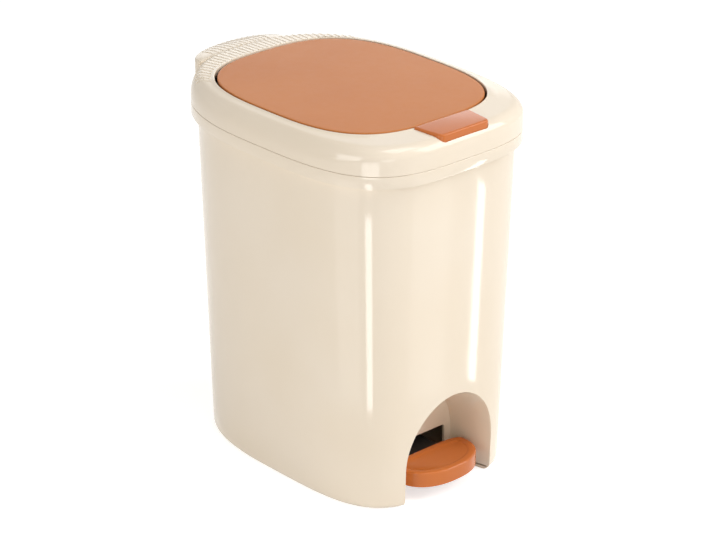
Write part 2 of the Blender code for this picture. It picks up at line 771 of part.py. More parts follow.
def make_pedal_group():
    pad = make_pedal()
    lever = make_lever()
    heel_pass = bmesh.new()
    box(
        heel_pass,
        (
            -LEVER_FRONT_HALF_WIDTH - RUNNING_GAP,
            PAD_CENTRE_Y + PAD_HEEL_DEPTH - PAD_SHELL - CUT_OVERRUN,
            PAD_SKIRT_HEIGHT - CUT_OVERRUN,
        ),
        (
            LEVER_FRONT_HALF_WIDTH + RUNNING_GAP,
            PAD_CENTRE_Y + PAD_HEEL_DEPTH + CUT_OVERRUN,
            PAD_TOP_HEIGHT - PAD_TREAD_DROP - PAD_SHELL,
        ),
    )
    cut(pad, tool("heel_pass", heel_pass))
    top = PAD_TOP_HEIGHT - PAD_TREAD_DROP - PAD_SHELL - FIT_GAP
    holes = screw_places_from(pad_screw_places(), SCREW_RADIUS + FIT_GAP, top - LEVER_WALL - CUT_OVERRUN, top + CUT_OVERRUN)
    cut(lever, tool("lever_screw_holes", holes))
    made = [pad, lever]
    bottom = top - LEVER_WALL - FIT_GAP - SCREW_HEAD_HEIGHT
    reach = LEVER_WALL + FIT_GAP + PAD_SHELL / 2
    for number, (x, y) in enumerate(pad_screw_places(), 1):
        made.append(make_screw(f"pedal_screw_{number}", x, y, bottom, reach))
    return made


def make_axle():
    """The steel axle lies in both blocks and the lever's hub."""
    end = BLOCK_INNER_X + BLOCK_THICKNESS + AXLE_END_REACH
    shape = bmesh.new()
    prism(shape, circle(AXLE_Y, AXLE_HEIGHT, AXLE_RADIUS), "X", -end, end)
    return finish("pedal_axle", shape, steel)


def tongue_bottom():
    """The lowest point of the bracket's tongue at rest."""
    return HINGE_HEIGHT - TONGUE_DROP - TONGUE_RADIUS


def make_rod():
    bottom = LEVER_REAR_TOP + FIT_GAP
    tip_top = tongue_bottom() - FIT_GAP
    rod_top = tip_top - ROD_TIP_CAP
    shape = bmesh.new()
    foot_top = bottom + ROD_FOOT_HEIGHT
    profile = [
        (0, bottom),
        (ROD_FOOT_RADIUS, bottom),
        (ROD_FOOT_RADIUS, foot_top),
        (ROD_RADIUS, foot_top + ROD_FOOT_RADIUS - ROD_RADIUS),
        (ROD_RADIUS, rod_top),
        (0, rod_top),
    ]
    lathe(shape, profile, 0, ROD_Y, sides=16)
    rod = finish("push_rod", shape, steel)
    shape = bmesh.new()
    bore = ROD_RADIUS + FIT_GAP
    tip_bottom = tip_top - ROD_TIP_LENGTH
    rounding = ROD_TIP_RADIUS - ROD_RADIUS
    profile = [
        (0, tip_top),
        (ROD_TIP_RADIUS - rounding / 2, tip_top),
        (ROD_TIP_RADIUS, tip_top - rounding / 2),
        (ROD_TIP_RADIUS, tip_bottom),
        (bore, tip_bottom),
        (bore, rod_top + FIT_GAP),
        (0, rod_top + FIT_GAP),
    ]
    lathe(shape, profile, 0, ROD_Y, sides=16)
    tip = finish("rod_tip", shape, grey_nylon)
    return [rod, tip]


def make_rod_guide(name, share):
    """A guide on the rear wall: its back follows the wall's lean."""
    bottom = mixed(FLOOR_TOP, BUCKET_TOP, share)
    top = bottom + GUIDE_HEIGHT
    rings = []
    for height in (bottom, top):
        back = barrel_wall_rear(height) - FIT_GAP
        nose = arc(0, ROD_Y, GUIDE_NOSE, 210, 330, ARC_STEPS)
        section = [(GUIDE_HALF_WIDTH, back), (-GUIDE_HALF_WIDTH, back), *nose]
        rings.append([(x, y, height) for x, y in section])
    shape = bmesh.new()
    skin(shape, rings)
    guide = finish(name, shape, cream)
    shape = bmesh.new()
    prism(shape, circle(0, ROD_Y, ROD_RADIUS + RUNNING_GAP), "Z", bottom - CUT_OVERRUN, top + CUT_OVERRUN)
    cut(guide, tool(name + "_bore", shape))
    return guide


def ring_ring(share, inset, height):
    """The lid ring's plan outline: share 0 at its outer rim, 1 at the flap opening."""
    half_width = mixed(RIM_HALF_WIDTH, FLAP_HALF_WIDTH + FLAP_GAP, share) - inset
    front = mixed(RIM_HALF_DEPTH, FLAP_FRONT_DEPTH + FLAP_GAP, share) - inset
    rear = mixed(RIM_HALF_DEPTH, FLAP_REAR_DEPTH + FLAP_REAR_GAP, share) - inset
    front_power = mixed(FRONT_POWER_RIM, FLAP_POWER, share)
    rear_power = mixed(REAR_POWER_RIM, FLAP_REAR_POWER, share)
    return outline(half_width, front, rear, front_power, rear_power, height)


def ring_top_at(y):
    """The height of the ring's sloping top on the centre line."""
    opening = FLAP_REAR_DEPTH + FLAP_REAR_GAP + LIP_WIDTH / 2
    crest = RIM_HALF_DEPTH - SHOULDER_RADIUS
    share = (abs(y) - opening) / (crest - opening)
    return mixed(RING_TOP - LIP_ROUND, SHOULDER_HEIGHT, share)


def make_ring_body():
    shoulder = arc(SHOULDER_RADIUS, SHOULDER_HEIGHT - SHOULDER_RADIUS, SHOULDER_RADIUS, 180, 90)
    spigot_in = WALL + SPIGOT_GAP + SPIGOT_WALL
    spigot_out = WALL + SPIGOT_GAP
    seat = PARTING_HEIGHT + FIT_GAP
    spigot_top = seat + WALL
    spigot_bottom = PARTING_HEIGHT - SPIGOT_DEPTH
    ceiling = SHOULDER_HEIGHT - WALL
    lip_bottom = RING_TOP - LIP_DEPTH
    lip_top = RING_TOP - LIP_ROUND
    steps = [(0, EDGE_ROUND / 2, seat), (0, 0, seat + EDGE_ROUND)]
    steps += [(0, inset, height) for inset, height in shoulder]
    steps += [
        (1, -LIP_WIDTH, lip_top - LIP_ROUND / 2),
        (1, -LIP_WIDTH / 2, RING_TOP - LIP_ROUND / 4),
        (1, 0, lip_top - LIP_ROUND),
        (1, 0, lip_bottom),
        (1, -LIP_WIDTH, lip_bottom),
        (1, -LIP_WIDTH, lip_top - WALL - LIP_ROUND),
        (0, SHOULDER_RADIUS + WALL / 2, ceiling),
        (0, WALL, SHOULDER_HEIGHT - SHOULDER_RADIUS),
        (0, WALL, spigot_top + WALL),
        (0, spigot_in, spigot_top),
        (0, spigot_in, spigot_bottom),
        (0, spigot_out, spigot_bottom),
        (0, spigot_out, seat),
    ]
    shape = bmesh.new()
    skin(shape, [ring_ring(*step) for step in steps], closed=True)
    return finish("lid_ring", shape, cream)


def ledge_ring(height, inset):
    reach = LEDGE_REACH + LEDGE_ROOT - inset
    return outline(
        LEDGE_HALF_WIDTH - inset,
        LEDGE_ROOT,
        reach,
        LEDGE_POWER,
        LEDGE_POWER,
        height,
        RIM_HALF_DEPTH - LEDGE_ROOT,
        count=40,
    )


def ledge_reach_at(x):
    """The ledge's rear edge at a distance from the centre line."""
    share = min(abs(x) / LEDGE_HALF_WIDTH, 1.0)
    depth = (LEDGE_REACH + LEDGE_ROOT) * (1 - share**LEDGE_POWER) ** (1 / LEDGE_POWER)
    return RIM_HALF_DEPTH - LEDGE_ROOT + depth


def make_ledge(ring):
    """The bow-shaped lifting ledge, hollow below for the fingers, ribbed on top."""
    top = RING_TOP - LEDGE_DROP
    bottom = top - LEDGE_DEPTH
    steps = [
        (top - WALL, WALL),
        (bottom, WALL),
        (bottom, LEDGE_ROUND / 4),
        (bottom + LEDGE_ROUND / 2, 0),
        (top - LEDGE_ROUND, 0),
        (top - LEDGE_ROUND / 3, LEDGE_ROUND / 3),
        (top, LEDGE_ROUND),
    ]
    shape = bmesh.new()
    skin(shape, [ledge_ring(height, inset) for height, inset in steps])
    ledge = tool("ledge", shape)
    shape = bmesh.new()
    heights = (PARTING_HEIGHT - SPIGOT_DEPTH, SHOULDER_HEIGHT)
    skin(shape, [ring_ring(0, WALL / 2, height) for height in heights])
    cut(ledge, tool("ring_core", shape))
    join(ring, ledge)

    shape = bmesh.new()
    middle = (LEDGE_RIB_COUNT - 1) / 2
    for number in range(LEDGE_RIB_COUNT):
        x = (number - middle) * LEDGE_RIB_PITCH
        section = [
            (x - LEDGE_RIB_HALF_WIDTH, top - LEDGE_RIB_SINK),
            (x - LEDGE_RIB_HALF_WIDTH, top + LEDGE_RIB_HEIGHT / 3),
            (x, top + LEDGE_RIB_HEIGHT),
            (x + LEDGE_RIB_HALF_WIDTH, top + LEDGE_RIB_HEIGHT / 3),
            (x + LEDGE_RIB_HALF_WIDTH, top - LEDGE_RIB_SINK),
        ]
        start = RIM_HALF_DEPTH - WALL / 2
        prism(shape, section, "Y", start, ledge_reach_at(x) - LEDGE_RIB_END_MARGIN)
    join(ring, tool("ledge_ribs", shape))


def button_outline(height, grow):
    """The button's rounded trapezoid, wider at the flap than at the front."""
    front = BUTTON_REAR_Y - BUTTON_LENGTH - grow
    rear = BUTTON_REAR_Y + grow
    corners = [
        (BUTTON_FRONT_HALF_WIDTH + grow, front, BUTTON_CORNER + grow),
        (BUTTON_REAR_HALF_WIDTH + grow, rear, BUTTON_REAR_CORNER),
        (-BUTTON_REAR_HALF_WIDTH - grow, rear, BUTTON_REAR_CORNER),
        (-BUTTON_FRONT_HALF_WIDTH - grow, front, BUTTON_CORNER + grow),
    ]
    points = []
    for i, (x, y, radius) in enumerate(corners):
        here = Vector((x, y))
        before = (Vector(corners[i - 1][:2]) - here).normalized()
        after = (Vector(corners[(i + 1) % len(corners)][:2]) - here).normalized()
        half = before.angle(after) / 2
        centre = here + (before + after).normalized() * radius / math.sin(half)
        start = here + before * radius / math.tan(half) - centre
        end = here + after * radius / math.tan(half) - centre
        turn = start.angle_signed(end)
        for step in range(ARC_STEPS + 1):
            angle = -turn * step / ARC_STEPS
            spoke = Matrix.Rotation(angle, 2) @ start
            points.append(Vector((*(centre + spoke), height)))
    return points


def housing_screw_places():
    x = HOUSING_HALF_WIDTH + HOUSING_TAB_LENGTH - HOUSING_TAB_HALF_WIDTH
    y = BUTTON_REAR_Y - BUTTON_LENGTH / 2
    return [(-x, y), (x, y)]


def make_ring():
    ring = make_ring_body()
    make_ledge(ring)

    shape = bmesh.new()
    inner = NECK_SPACING + NECK_HALF_WIDTH + EAR_GAP
    for side in (-1, 1):
        rear = HINGE_Y + EAR_RADIUS
        front = HINGE_Y - EAR_RADIUS
        crown = arc(HINGE_Y, HINGE_HEIGHT, EAR_RADIUS, 0, -180, 2 * ARC_STEPS)
        profile = [
            (front, ring_top_at(front) - WALL / 2),
            (rear, ring_top_at(rear) - WALL / 2),
            *crown,
        ]
        prism(shape, profile, "X", side * inner, side * (inner + EAR_THICKNESS))
    for x, y in housing_screw_places():
        prism(shape, circle(x, y, BOSS_RADIUS), "Z", HOUSING_TOP + FIT_GAP, ring_top_at(y) - WALL / 2)
    join(ring, tool("ring_ears", shape))

    shape = bmesh.new()
    reach = inner + EAR_THICKNESS + CUT_OVERRUN
    prism(shape, circle(HINGE_Y, HINGE_HEIGHT, PIN_RADIUS + FIT_GAP), "X", -reach, reach)
    for x, y in housing_screw_places():
        prism(shape, circle(x, y, SCREW_RADIUS + FIT_GAP), "Z", HOUSING_TOP - CUT_OVERRUN, ring_top_at(y) - WALL)
    cut(ring, tool("ring_holes", shape))

    shape = bmesh.new()
    heights = (HOUSING_TOP, RING_TOP + CUT_OVERRUN)
    skin(shape, [button_outline(height, BUTTON_GAP) for height in heights])
    cut(ring, tool("button_hole", shape))
    return ring


def flap_ring(height, inset):
    return outline(
        FLAP_HALF_WIDTH - inset,
        FLAP_FRONT_DEPTH - inset,
        FLAP_REAR_DEPTH - inset,
        FLAP_POWER,
        FLAP_REAR_POWER,
        height,
    )


def bracket_screw_places():
    y = FLAP_REAR_DEPTH - BRACKET_LENGTH + BRACKET_PLATE * 4
    return [(side * BRACKET_SCREW_SPACING / 2, y) for side in (-1, 1)]


def catch_screw_place():
    return (0, CATCH_FRONT_SETBACK + CATCH_FOOT_LENGTH - CATCH_STEM * 2 - FLAP_FRONT_DEPTH)


def make_flap():
    """The inset lid: a slightly crowned plate with a short skirt."""
    bottom = RING_TOP - FLAP_DEPTH
    edge = RING_TOP - FLAP_CROWN
    steps = [
        (FLAP_UNDERSIDE, FLAP_SKIRT_WALL),
        (bottom, FLAP_SKIRT_WALL),
        (bottom, 0),
        (edge - FLAP_EDGE_ROUND, 0),
        (edge - FLAP_EDGE_ROUND / 4, FLAP_EDGE_ROUND / 3),
        (edge, FLAP_EDGE_ROUND),
    ]
    for share in FLAP_CROWN_SHARES:
        rise = FLAP_CROWN * (1 - (1 - share) ** 2)
        steps.append((edge + rise, mixed(FLAP_EDGE_ROUND, FLAP_HALF_WIDTH, share)))
    shape = bmesh.new()
    skin(shape, [flap_ring(height, inset) for height, inset in steps])
    flap = finish("flap", shape, orange)
    places = bracket_screw_places() + [catch_screw_place()]
    top = FLAP_UNDERSIDE + FLAP_PLATE / 2
    holes = screw_places_from(places, SCREW_RADIUS + FIT_GAP, FLAP_UNDERSIDE - CUT_OVERRUN, top)
    cut(flap, tool("flap_screw_holes", holes))
    return flap


def neck_profile():
    """The gooseneck's side view: from the hub down round the ring's lip and up under the flap."""
    plate_top = FLAP_UNDERSIDE - FIT_GAP
    back = HINGE_Y - NECK_REACH
    inner = [(HINGE_Y + along, HINGE_HEIGHT + rise) for along, rise in NECK_INNER_CURVE]
    outer = [(HINGE_Y + along, HINGE_HEIGHT + rise) for along, rise in NECK_OUTER_CURVE]
    return [*outer, (back - NECK_BAR, plate_top), (back, plate_top), *inner]


def make_bracket():
    """The hinge bracket: plate, two goosenecks, hubs and the tongue over the rod."""
    plate_top = FLAP_UNDERSIDE - FIT_GAP
    front = FLAP_REAR_DEPTH - BRACKET_LENGTH
    rear = HINGE_Y - NECK_REACH
    shape = bmesh.new()
    plate = [
        (-BRACKET_HALF_WIDTH, rear),
        (-BRACKET_HALF_WIDTH * 3 / 4, front),
        (BRACKET_HALF_WIDTH * 3 / 4, front),
        (BRACKET_HALF_WIDTH, rear),
    ]
    prism(shape, plate, "Z", plate_top - BRACKET_PLATE, plate_top)
    bracket = finish("hinge_bracket", shape, grey_nylon)

    shape = bmesh.new()
    for side in (-1, 1):
        near = side * (NECK_SPACING - NECK_HALF_WIDTH)
        far = side * (NECK_SPACING + NECK_HALF_WIDTH - FIT_GAP)
        prism(shape, neck_profile(), "X", near, far)
    join(bracket, tool("bracket_necks", shape))

    tube_end = NECK_SPACING + NECK_HALF_WIDTH
    spring_start = TONGUE_HALF_WIDTH + RUNNING_GAP
    spring_end = NECK_SPACING - NECK_HALF_WIDTH
    shape = bmesh.new()
    hub = circle(HINGE_Y, HINGE_HEIGHT, HUB_RADIUS)
    prism(shape, hub, "X", -tube_end, spring_start)
    prism(shape, hub, "X", spring_end, tube_end)
    join(bracket, tool("bracket_hubs", shape))

    shape = bmesh.new()
    y = HINGE_Y - TONGUE_ARM
    z = HINGE_HEIGHT - TONGUE_DROP
    back = [(HINGE_Y + along, HINGE_HEIGHT + rise) for along, rise in TONGUE_BACK_CURVE]
    front = [(HINGE_Y + along, HINGE_HEIGHT + rise) for along, rise in TONGUE_FRONT_CURVE]
    tip = arc(y, z, TONGUE_RADIUS, 170, 350, 2 * ARC_STEPS)
    prism(shape, [*back, *tip, *front], "X", -TONGUE_HALF_WIDTH, TONGUE_HALF_WIDTH)
    join(bracket, tool("bracket_tongue", shape))

    shape = bmesh.new()
    prism(
        shape,
        circle(HINGE_Y, HINGE_HEIGHT, PIN_RADIUS + FIT_GAP),
        "X",
        -tube_end - CUT_OVERRUN,
        tube_end + CUT_OVERRUN,
    )
    for x, y in bracket_screw_places():
        prism(
            shape,
            circle(x, y, SCREW_RADIUS + FIT_GAP),
            "Z",
            plate_top - BRACKET_PLATE - CUT_OVERRUN,
            plate_top + CUT_OVERRUN,
        )
    cut(bracket, tool("bracket_holes", shape))
    return bracket


def make_pin():
    end = NECK_SPACING + NECK_HALF_WIDTH + EAR_GAP + EAR_THICKNESS + PIN_END
    shape = bmesh.new()
    prism(shape, circle(HINGE_Y, HINGE_HEIGHT, PIN_RADIUS), "X", -end, end)
    return finish("hinge_pin", shape, steel)


def make_hinge_spring():
    """A torsion spring round the pin: one leg up to the ring, one forward under the flap."""
    width = SPRING_TURNS * SPRING_PITCH
    room_low = TONGUE_HALF_WIDTH + RUNNING_GAP
    room_high = NECK_SPACING - NECK_HALF_WIDTH
    start = (room_low + room_high - width) / 2
    centre = Vector((0, HINGE_Y, HINGE_HEIGHT))
    path = []
    steps = SPRING_TURNS * TURN_POINTS + TURN_POINTS // 2
    for i in range(steps + 1):
        angle = 2 * math.pi * i / TURN_POINTS
        spoke = Vector((0, math.cos(angle), math.sin(angle))) * SPRING_COIL_RADIUS
        path.append(centre + spoke + Vector((start + SPRING_PITCH * i / TURN_POINTS, 0, 0)))
    path.insert(0, path[0] - Vector((0, 0, SPRING_LEG)))
    path.append(path[-1] - Vector((0, 0, SPRING_LEG)))
    shape = bmesh.new()
    wire(shape, path, SPRING_WIRE)
    print("hinge spring: least gap between turns", round(SPRING_PITCH - 2 * SPRING_WIRE, 5))
    return finish("hinge_spring", shape, steel)


def catch_profile():
    """The hook under the flap's front, its nose towards the latch."""
    front = CATCH_FRONT_SETBACK - FLAP_FRONT_DEPTH
    top = FLAP_UNDERSIDE - FIT_GAP
    nose_top = SLIDER_TOP - TONGUE_PLATE - FIT_GAP
    nose_low = nose_top - CATCH_NOSE_HEIGHT
    bottom = nose_low - CATCH_NOSE
    return [
        (front + CATCH_FOOT_LENGTH, top),
        (front, top),
        (front, nose_top),
        (front - CATCH_NOSE, nose_top),
        (front - CATCH_NOSE, nose_low),
        (front, bottom),
        (front + CATCH_STEM, bottom),
        (front + CATCH_STEM, top - CATCH_FOOT_THICKNESS),
        (front + CATCH_FOOT_LENGTH, top - CATCH_FOOT_THICKNESS),
    ]


def make_catch():
    shape = bmesh.new()
    prism(shape, catch_profile(), "X", -CATCH_HALF_WIDTH, CATCH_HALF_WIDTH)
    catch = finish("flap_catch", shape, grey_nylon)
    x, y = catch_screw_place()
    top = FLAP_UNDERSIDE
    shape = bmesh.new()
    prism(shape, circle(x, y, SCREW_RADIUS + FIT_GAP), "Z", top - CATCH_FOOT_THICKNESS - CUT_OVERRUN, top + CUT_OVERRUN)
    cut(catch, tool("catch_screw_hole", shape))
    return catch


def post_places():
    y = BUTTON_REAR_Y - BUTTON_LENGTH / 2
    return [(side * POST_SPACING / 2, y) for side in (-1, 1)]


def stem_profile():
    """The button's stem: its 45 degree foot draws the slider forward."""
    return [
        (STEM_REAR_Y, BUTTON_CEILING + BUTTON_TOP_WALL / 2),
        (STEM_REAR_Y, STEM_TIP_HEIGHT),
        (STEM_TIP_Y, STEM_TIP_HEIGHT),
        (STEM_TIP_Y - STEM_CAM_HEIGHT, STEM_TIP_HEIGHT + STEM_CAM_HEIGHT),
        (STEM_TIP_Y - STEM_CAM_HEIGHT, BUTTON_CEILING + BUTTON_TOP_WALL / 2),
    ]


def make_button():
    steps = [
        (BUTTON_CEILING, -BUTTON_SHELL),
        (BUTTON_BOTTOM, -BUTTON_SHELL),
        (BUTTON_BOTTOM, 0),
        (BUTTON_TOP - BUTTON_BEVEL, 0),
        (BUTTON_TOP - BUTTON_BEVEL / 4, -BUTTON_BEVEL / 3),
        (BUTTON_TOP, -BUTTON_BEVEL),
    ]
    shape = bmesh.new()
    skin(shape, [button_outline(height, grow) for height, grow in steps])
    button = finish("push_button", shape, orange)
    shape = bmesh.new()
    prism(shape, stem_profile(), "X", -STEM_HALF_WIDTH, STEM_HALF_WIDTH)
    for x, y in post_places():
        prism(
            shape,
            circle(x, y, POST_RADIUS, 12),
            "Z",
            BUTTON_CEILING - POST_LENGTH,
            BUTTON_CEILING + BUTTON_TOP_WALL / 2,
        )
    join(button, tool("button_stems", shape))
    return button


def make_housing():
    """The latch housing: an open box with two screw tabs and a slot for the bolt."""
    shape = bmesh.new()
    box(
        shape,
        (-HOUSING_HALF_WIDTH, HOUSING_FRONT_Y, HOUSING_BOTTOM),
        (HOUSING_HALF_WIDTH, HOUSING_REAR_Y, HOUSING_TOP),
    )
    housing = finish("latch_housing", shape, cream)
    y = BUTTON_REAR_Y - BUTTON_LENGTH / 2
    shape = bmesh.new()
    for side in (-1, 1):
        tip = side * (HOUSING_HALF_WIDTH + HOUSING_TAB_LENGTH)
        root = side * (HOUSING_HALF_WIDTH - HOUSING_WALL / 2)
        low = HOUSING_TOP - HOUSING_TAB_THICKNESS
        end = arc(tip - side * HOUSING_TAB_HALF_WIDTH, y, HOUSING_TAB_HALF_WIDTH, -90, 90, 2 * ARC_STEPS)
        if side < 0:
            end = arc(tip - side * HOUSING_TAB_HALF_WIDTH, y, HOUSING_TAB_HALF_WIDTH, 270, 90, 2 * ARC_STEPS)
        plan = [(root, y - HOUSING_TAB_HALF_WIDTH), *end, (root, y + HOUSING_TAB_HALF_WIDTH)]
        prism(shape, plan, "Z", low, HOUSING_TOP - FIT_GAP / 3)
    join(housing, tool("housing_tabs", shape))
    shape = bmesh.new()
    box(
        shape,
        (-HOUSING_HALF_WIDTH + HOUSING_WALL, HOUSING_FRONT_Y + HOUSING_WALL, HOUSING_FLOOR_TOP),
        (HOUSING_HALF_WIDTH - HOUSING_WALL, HOUSING_REAR_Y - HOUSING_WALL, HOUSING_TOP + CUT_OVERRUN),
    )
    cut(housing, tool("housing_room", shape))
    shape = bmesh.new()
    box(
        shape,
        (-SLIDER_HALF_WIDTH - FIT_GAP, HOUSING_REAR_Y - HOUSING_WALL - CUT_OVERRUN, HOUSING_FLOOR_TOP),
        (SLIDER_HALF_WIDTH + FIT_GAP, HOUSING_REAR_Y + CUT_OVERRUN, SLIDER_TOP + FIT_GAP),
    )
    for x, y in housing_screw_places():
        prism(
            shape,
            circle(x, y, SCREW_RADIUS + FIT_GAP),
            "Z",
            HOUSING_TOP - HOUSING_TAB_THICKNESS - CUT_OVERRUN,
            HOUSING_TOP + CUT_OVERRUN,
        )
    cut(housing, tool("housing_openings", shape))
    return housing


def make_slider():
    """The latch bolt: a plate with a cam window, a spring arm and a tongue under the flap."""
    tongue_end = HOUSING_REAR_Y + TONGUE_REACH
    profile = [
        (SLIDER_FRONT_Y, SLIDER_BOTTOM),
        (HOUSING_REAR_Y - HOUSING_WALL / 2, SLIDER_BOTTOM),
        (HOUSING_REAR_Y, SLIDER_TOP - TONGUE_PLATE),
        (tongue_end, SLIDER_TOP - TONGUE_PLATE),
        (tongue_end, SLIDER_TOP - TONGUE_PLATE / 2),
        (tongue_end - TONGUE_PLATE / 2, SLIDER_TOP),
        (SLIDER_FRONT_Y, SLIDER_TOP),
    ]
    shape = bmesh.new()
    prism(shape, profile, "X", -SLIDER_HALF_WIDTH, SLIDER_HALF_WIDTH)
    slider = finish("latch_slider", shape, grey_nylon)
    arm_y = STEM_TIP_Y + SLIDER_ARM_THICKNESS / 2
    shape = bmesh.new()
    box(
        shape,
        (SLIDER_HALF_WIDTH - LEVER_WALL / 2, arm_y, SLIDER_BOTTOM + FIT_GAP / 3),
        (SLIDER_HALF_WIDTH + SLIDER_ARM, arm_y + SLIDER_ARM_THICKNESS, SLIDER_TOP - FIT_GAP / 3),
    )
    join(slider, tool("slider_arm", shape))
    low = SLIDER_BOTTOM - CUT_OVERRUN
    high = SLIDER_TOP + CUT_OVERRUN
    cam_gap = FIT_GAP * 2
    window = [
        (STEM_REAR_Y + BUTTON_TRAVEL + cam_gap, low),
        (STEM_REAR_Y + BUTTON_TRAVEL + cam_gap, high),
        (STEM_TIP_Y - cam_gap - (high - STEM_TIP_HEIGHT), high),
        (STEM_TIP_Y - cam_gap - (low - STEM_TIP_HEIGHT), low),
    ]
    shape = bmesh.new()
    prism(shape, window, "X", -STEM_HALF_WIDTH - FIT_GAP, STEM_HALF_WIDTH + FIT_GAP)
    cut(slider, tool("slider_window", shape))
    return slider


def coil_path(start, end, radius, turns):
    """A helix whose axis runs from start to end."""
    axis = end - start
    along = axis.normalized()
    side = along.orthogonal().normalized()
    other = along.cross(side)
    path = []
    steps = turns * TURN_POINTS
    for i in range(steps + 1):
        angle = 2 * math.pi * i / TURN_POINTS
        path.append(start + axis * i / steps + (side * math.cos(angle) + other * math.sin(angle)) * radius)
    return path


def make_springs():
    """The latch's return spring and the two under the button."""
    ends = COIL_WIRE + FIT_GAP
    arm_y = STEM_TIP_Y + SLIDER_ARM_THICKNESS / 2
    x = SLIDER_HALF_WIDTH + SLIDER_ARM / 2
    z = HOUSING_FLOOR_TOP + LATCH_SPRING_RADIUS + 2 * COIL_WIRE + FIT_GAP
    shape = bmesh.new()
    start = Vector((x, HOUSING_FRONT_Y + HOUSING_WALL + ends, z))
    end = Vector((x, arm_y - ends, z))
    wire(shape, coil_path(start, end, LATCH_SPRING_RADIUS, LATCH_SPRING_TURNS), COIL_WIRE)
    print("latch spring: least gap between turns",
          round((end - start).length / LATCH_SPRING_TURNS - 2 * COIL_WIRE, 5))
    made = [finish("latch_spring", shape, steel)]
    for number, (x, y) in enumerate(post_places(), 1):
        shape = bmesh.new()
        start = Vector((x, y, HOUSING_FLOOR_TOP + ends))
        end = Vector((x, y, BUTTON_CEILING - ends))
        wire(shape, coil_path(start, end, BUTTON_SPRING_RADIUS, BUTTON_SPRING_TURNS), COIL_WIRE)
        made.append(finish(f"button_spring_{number}", shape, steel))
    return made


def bucket_ring(height, inset):
    """The bucket's outline: it follows the barrel at the front and sides and clears the rod behind."""
    rise = (height - BUCKET_BOTTOM) / (BUCKET_TOP - BUCKET_BOTTOM)
    barrel_rise = (height - FOOT_RADIUS) / (NECK_HEIGHT - FOOT_RADIUS)
    half_width = mixed(FOOT_HALF_WIDTH, NECK_HALF_WIDTH_BARREL, barrel_rise) - WALL - BUCKET_SIDE_GAP
    front = mixed(FOOT_HALF_DEPTH, NECK_HALF_DEPTH_BARREL, barrel_rise) - WALL - BUCKET_FRONT_GAP
    rear = BUCKET_REAR_Y - BUCKET_REAR_TAPER * (1 - rise)
    middle = (rear - front) / 2
    half_depth = (rear + front) / 2 - inset
    return outline(
        half_width - inset, half_depth, half_depth, BUCKET_FRONT_POWER, BUCKET_REAR_POWER, height, middle
    )


def make_bucket():
    rim_low = BUCKET_TOP - BUCKET_RIM_HEIGHT
    steps = [
        (BUCKET_BOTTOM, BUCKET_CORNER),
        (BUCKET_BOTTOM + BUCKET_CORNER / 3, BUCKET_CORNER / 3),
        (BUCKET_BOTTOM + BUCKET_CORNER, 0),
        (rim_low - BUCKET_RIM_WIDTH, 0),
        (rim_low, -BUCKET_RIM_WIDTH),
        (BUCKET_TOP - EDGE_ROUND, -BUCKET_RIM_WIDTH),
        (BUCKET_TOP, -BUCKET_RIM_WIDTH + EDGE_ROUND),
        (BUCKET_TOP, BUCKET_WALL - EDGE_ROUND),
        (BUCKET_TOP - EDGE_ROUND, BUCKET_WALL),
        (BUCKET_BOTTOM + BUCKET_CORNER, BUCKET_WALL),
        (BUCKET_BOTTOM + BUCKET_CORNER / 3 + BUCKET_WALL / 2, BUCKET_CORNER / 3 + BUCKET_WALL),
        (BUCKET_BOTTOM + BUCKET_WALL, BUCKET_CORNER),
    ]
    shape = bmesh.new()
    skin(shape, [bucket_ring(height, inset) for height, inset in steps])
    bucket = finish("inner_bucket", shape, grey_nylon)

    void = NICHE_WALL + BUCKET_NICHE_GAP
    shape = bmesh.new()
    niche(shape, void + BUCKET_WALL, BUCKET_BOTTOM + FIT_GAP)
    walls = tool("recess_walls", shape)
    shape = bmesh.new()
    core_heights = (BUCKET_BOTTOM + FIT_GAP / 2, BUCKET_BOTTOM + BUCKET_CORNER, rim_low - BUCKET_RIM_WIDTH)
    core_insets = (BUCKET_CORNER, BUCKET_WALL / 2, BUCKET_WALL / 2)
    skin(shape, [bucket_ring(height, inset) for height, inset in zip(core_heights, core_insets)])
    combine(walls, tool("bucket_core", shape), "INTERSECT")
    join(bucket, walls)
    shape = bmesh.new()
    niche(shape, void, BUCKET_BOTTOM - CUT_OVERRUN)
    cut(bucket, tool("recess_void", shape))

    shape = bmesh.new()
    reach = RIM_HALF_WIDTH
    prism(shape, circle(bucket_middle(), BUCKET_TOP, GRIP_NOTCH_RADIUS), "X", -reach, reach)
    cut(bucket, tool("grip_notches", shape))
    return bucket


def bucket_middle():
    front = NECK_HALF_DEPTH_BARREL - WALL - BUCKET_FRONT_GAP
    return (BUCKET_REAR_Y - front) / 2


def hang(pieces, name, place_at):
    """Parents pieces to an empty on their joint's axis, without moving them."""
    pivot = bpy.data.objects.new(name, None)
    pivot.location = place_at
    bpy.context.scene.collection.objects.link(pivot)
    for piece in pieces:
        piece.parent = pivot
        piece.matrix_parent_inverse = Matrix.Translation(-Vector(place_at))
    return pivot


def make_base_screws():
    for number, (x, y) in enumerate(base_screw_places(), 1):
        make_screw(f"base_screw_{number}", x, y, SCREW_RECESS, SCREW_GRIP)
    for name, (x, y) in zip(("block_screw_left", "block_screw_right"), block_screw_places()):
        make_screw(name, x, y, SCREW_RECESS, SCREW_GRIP)


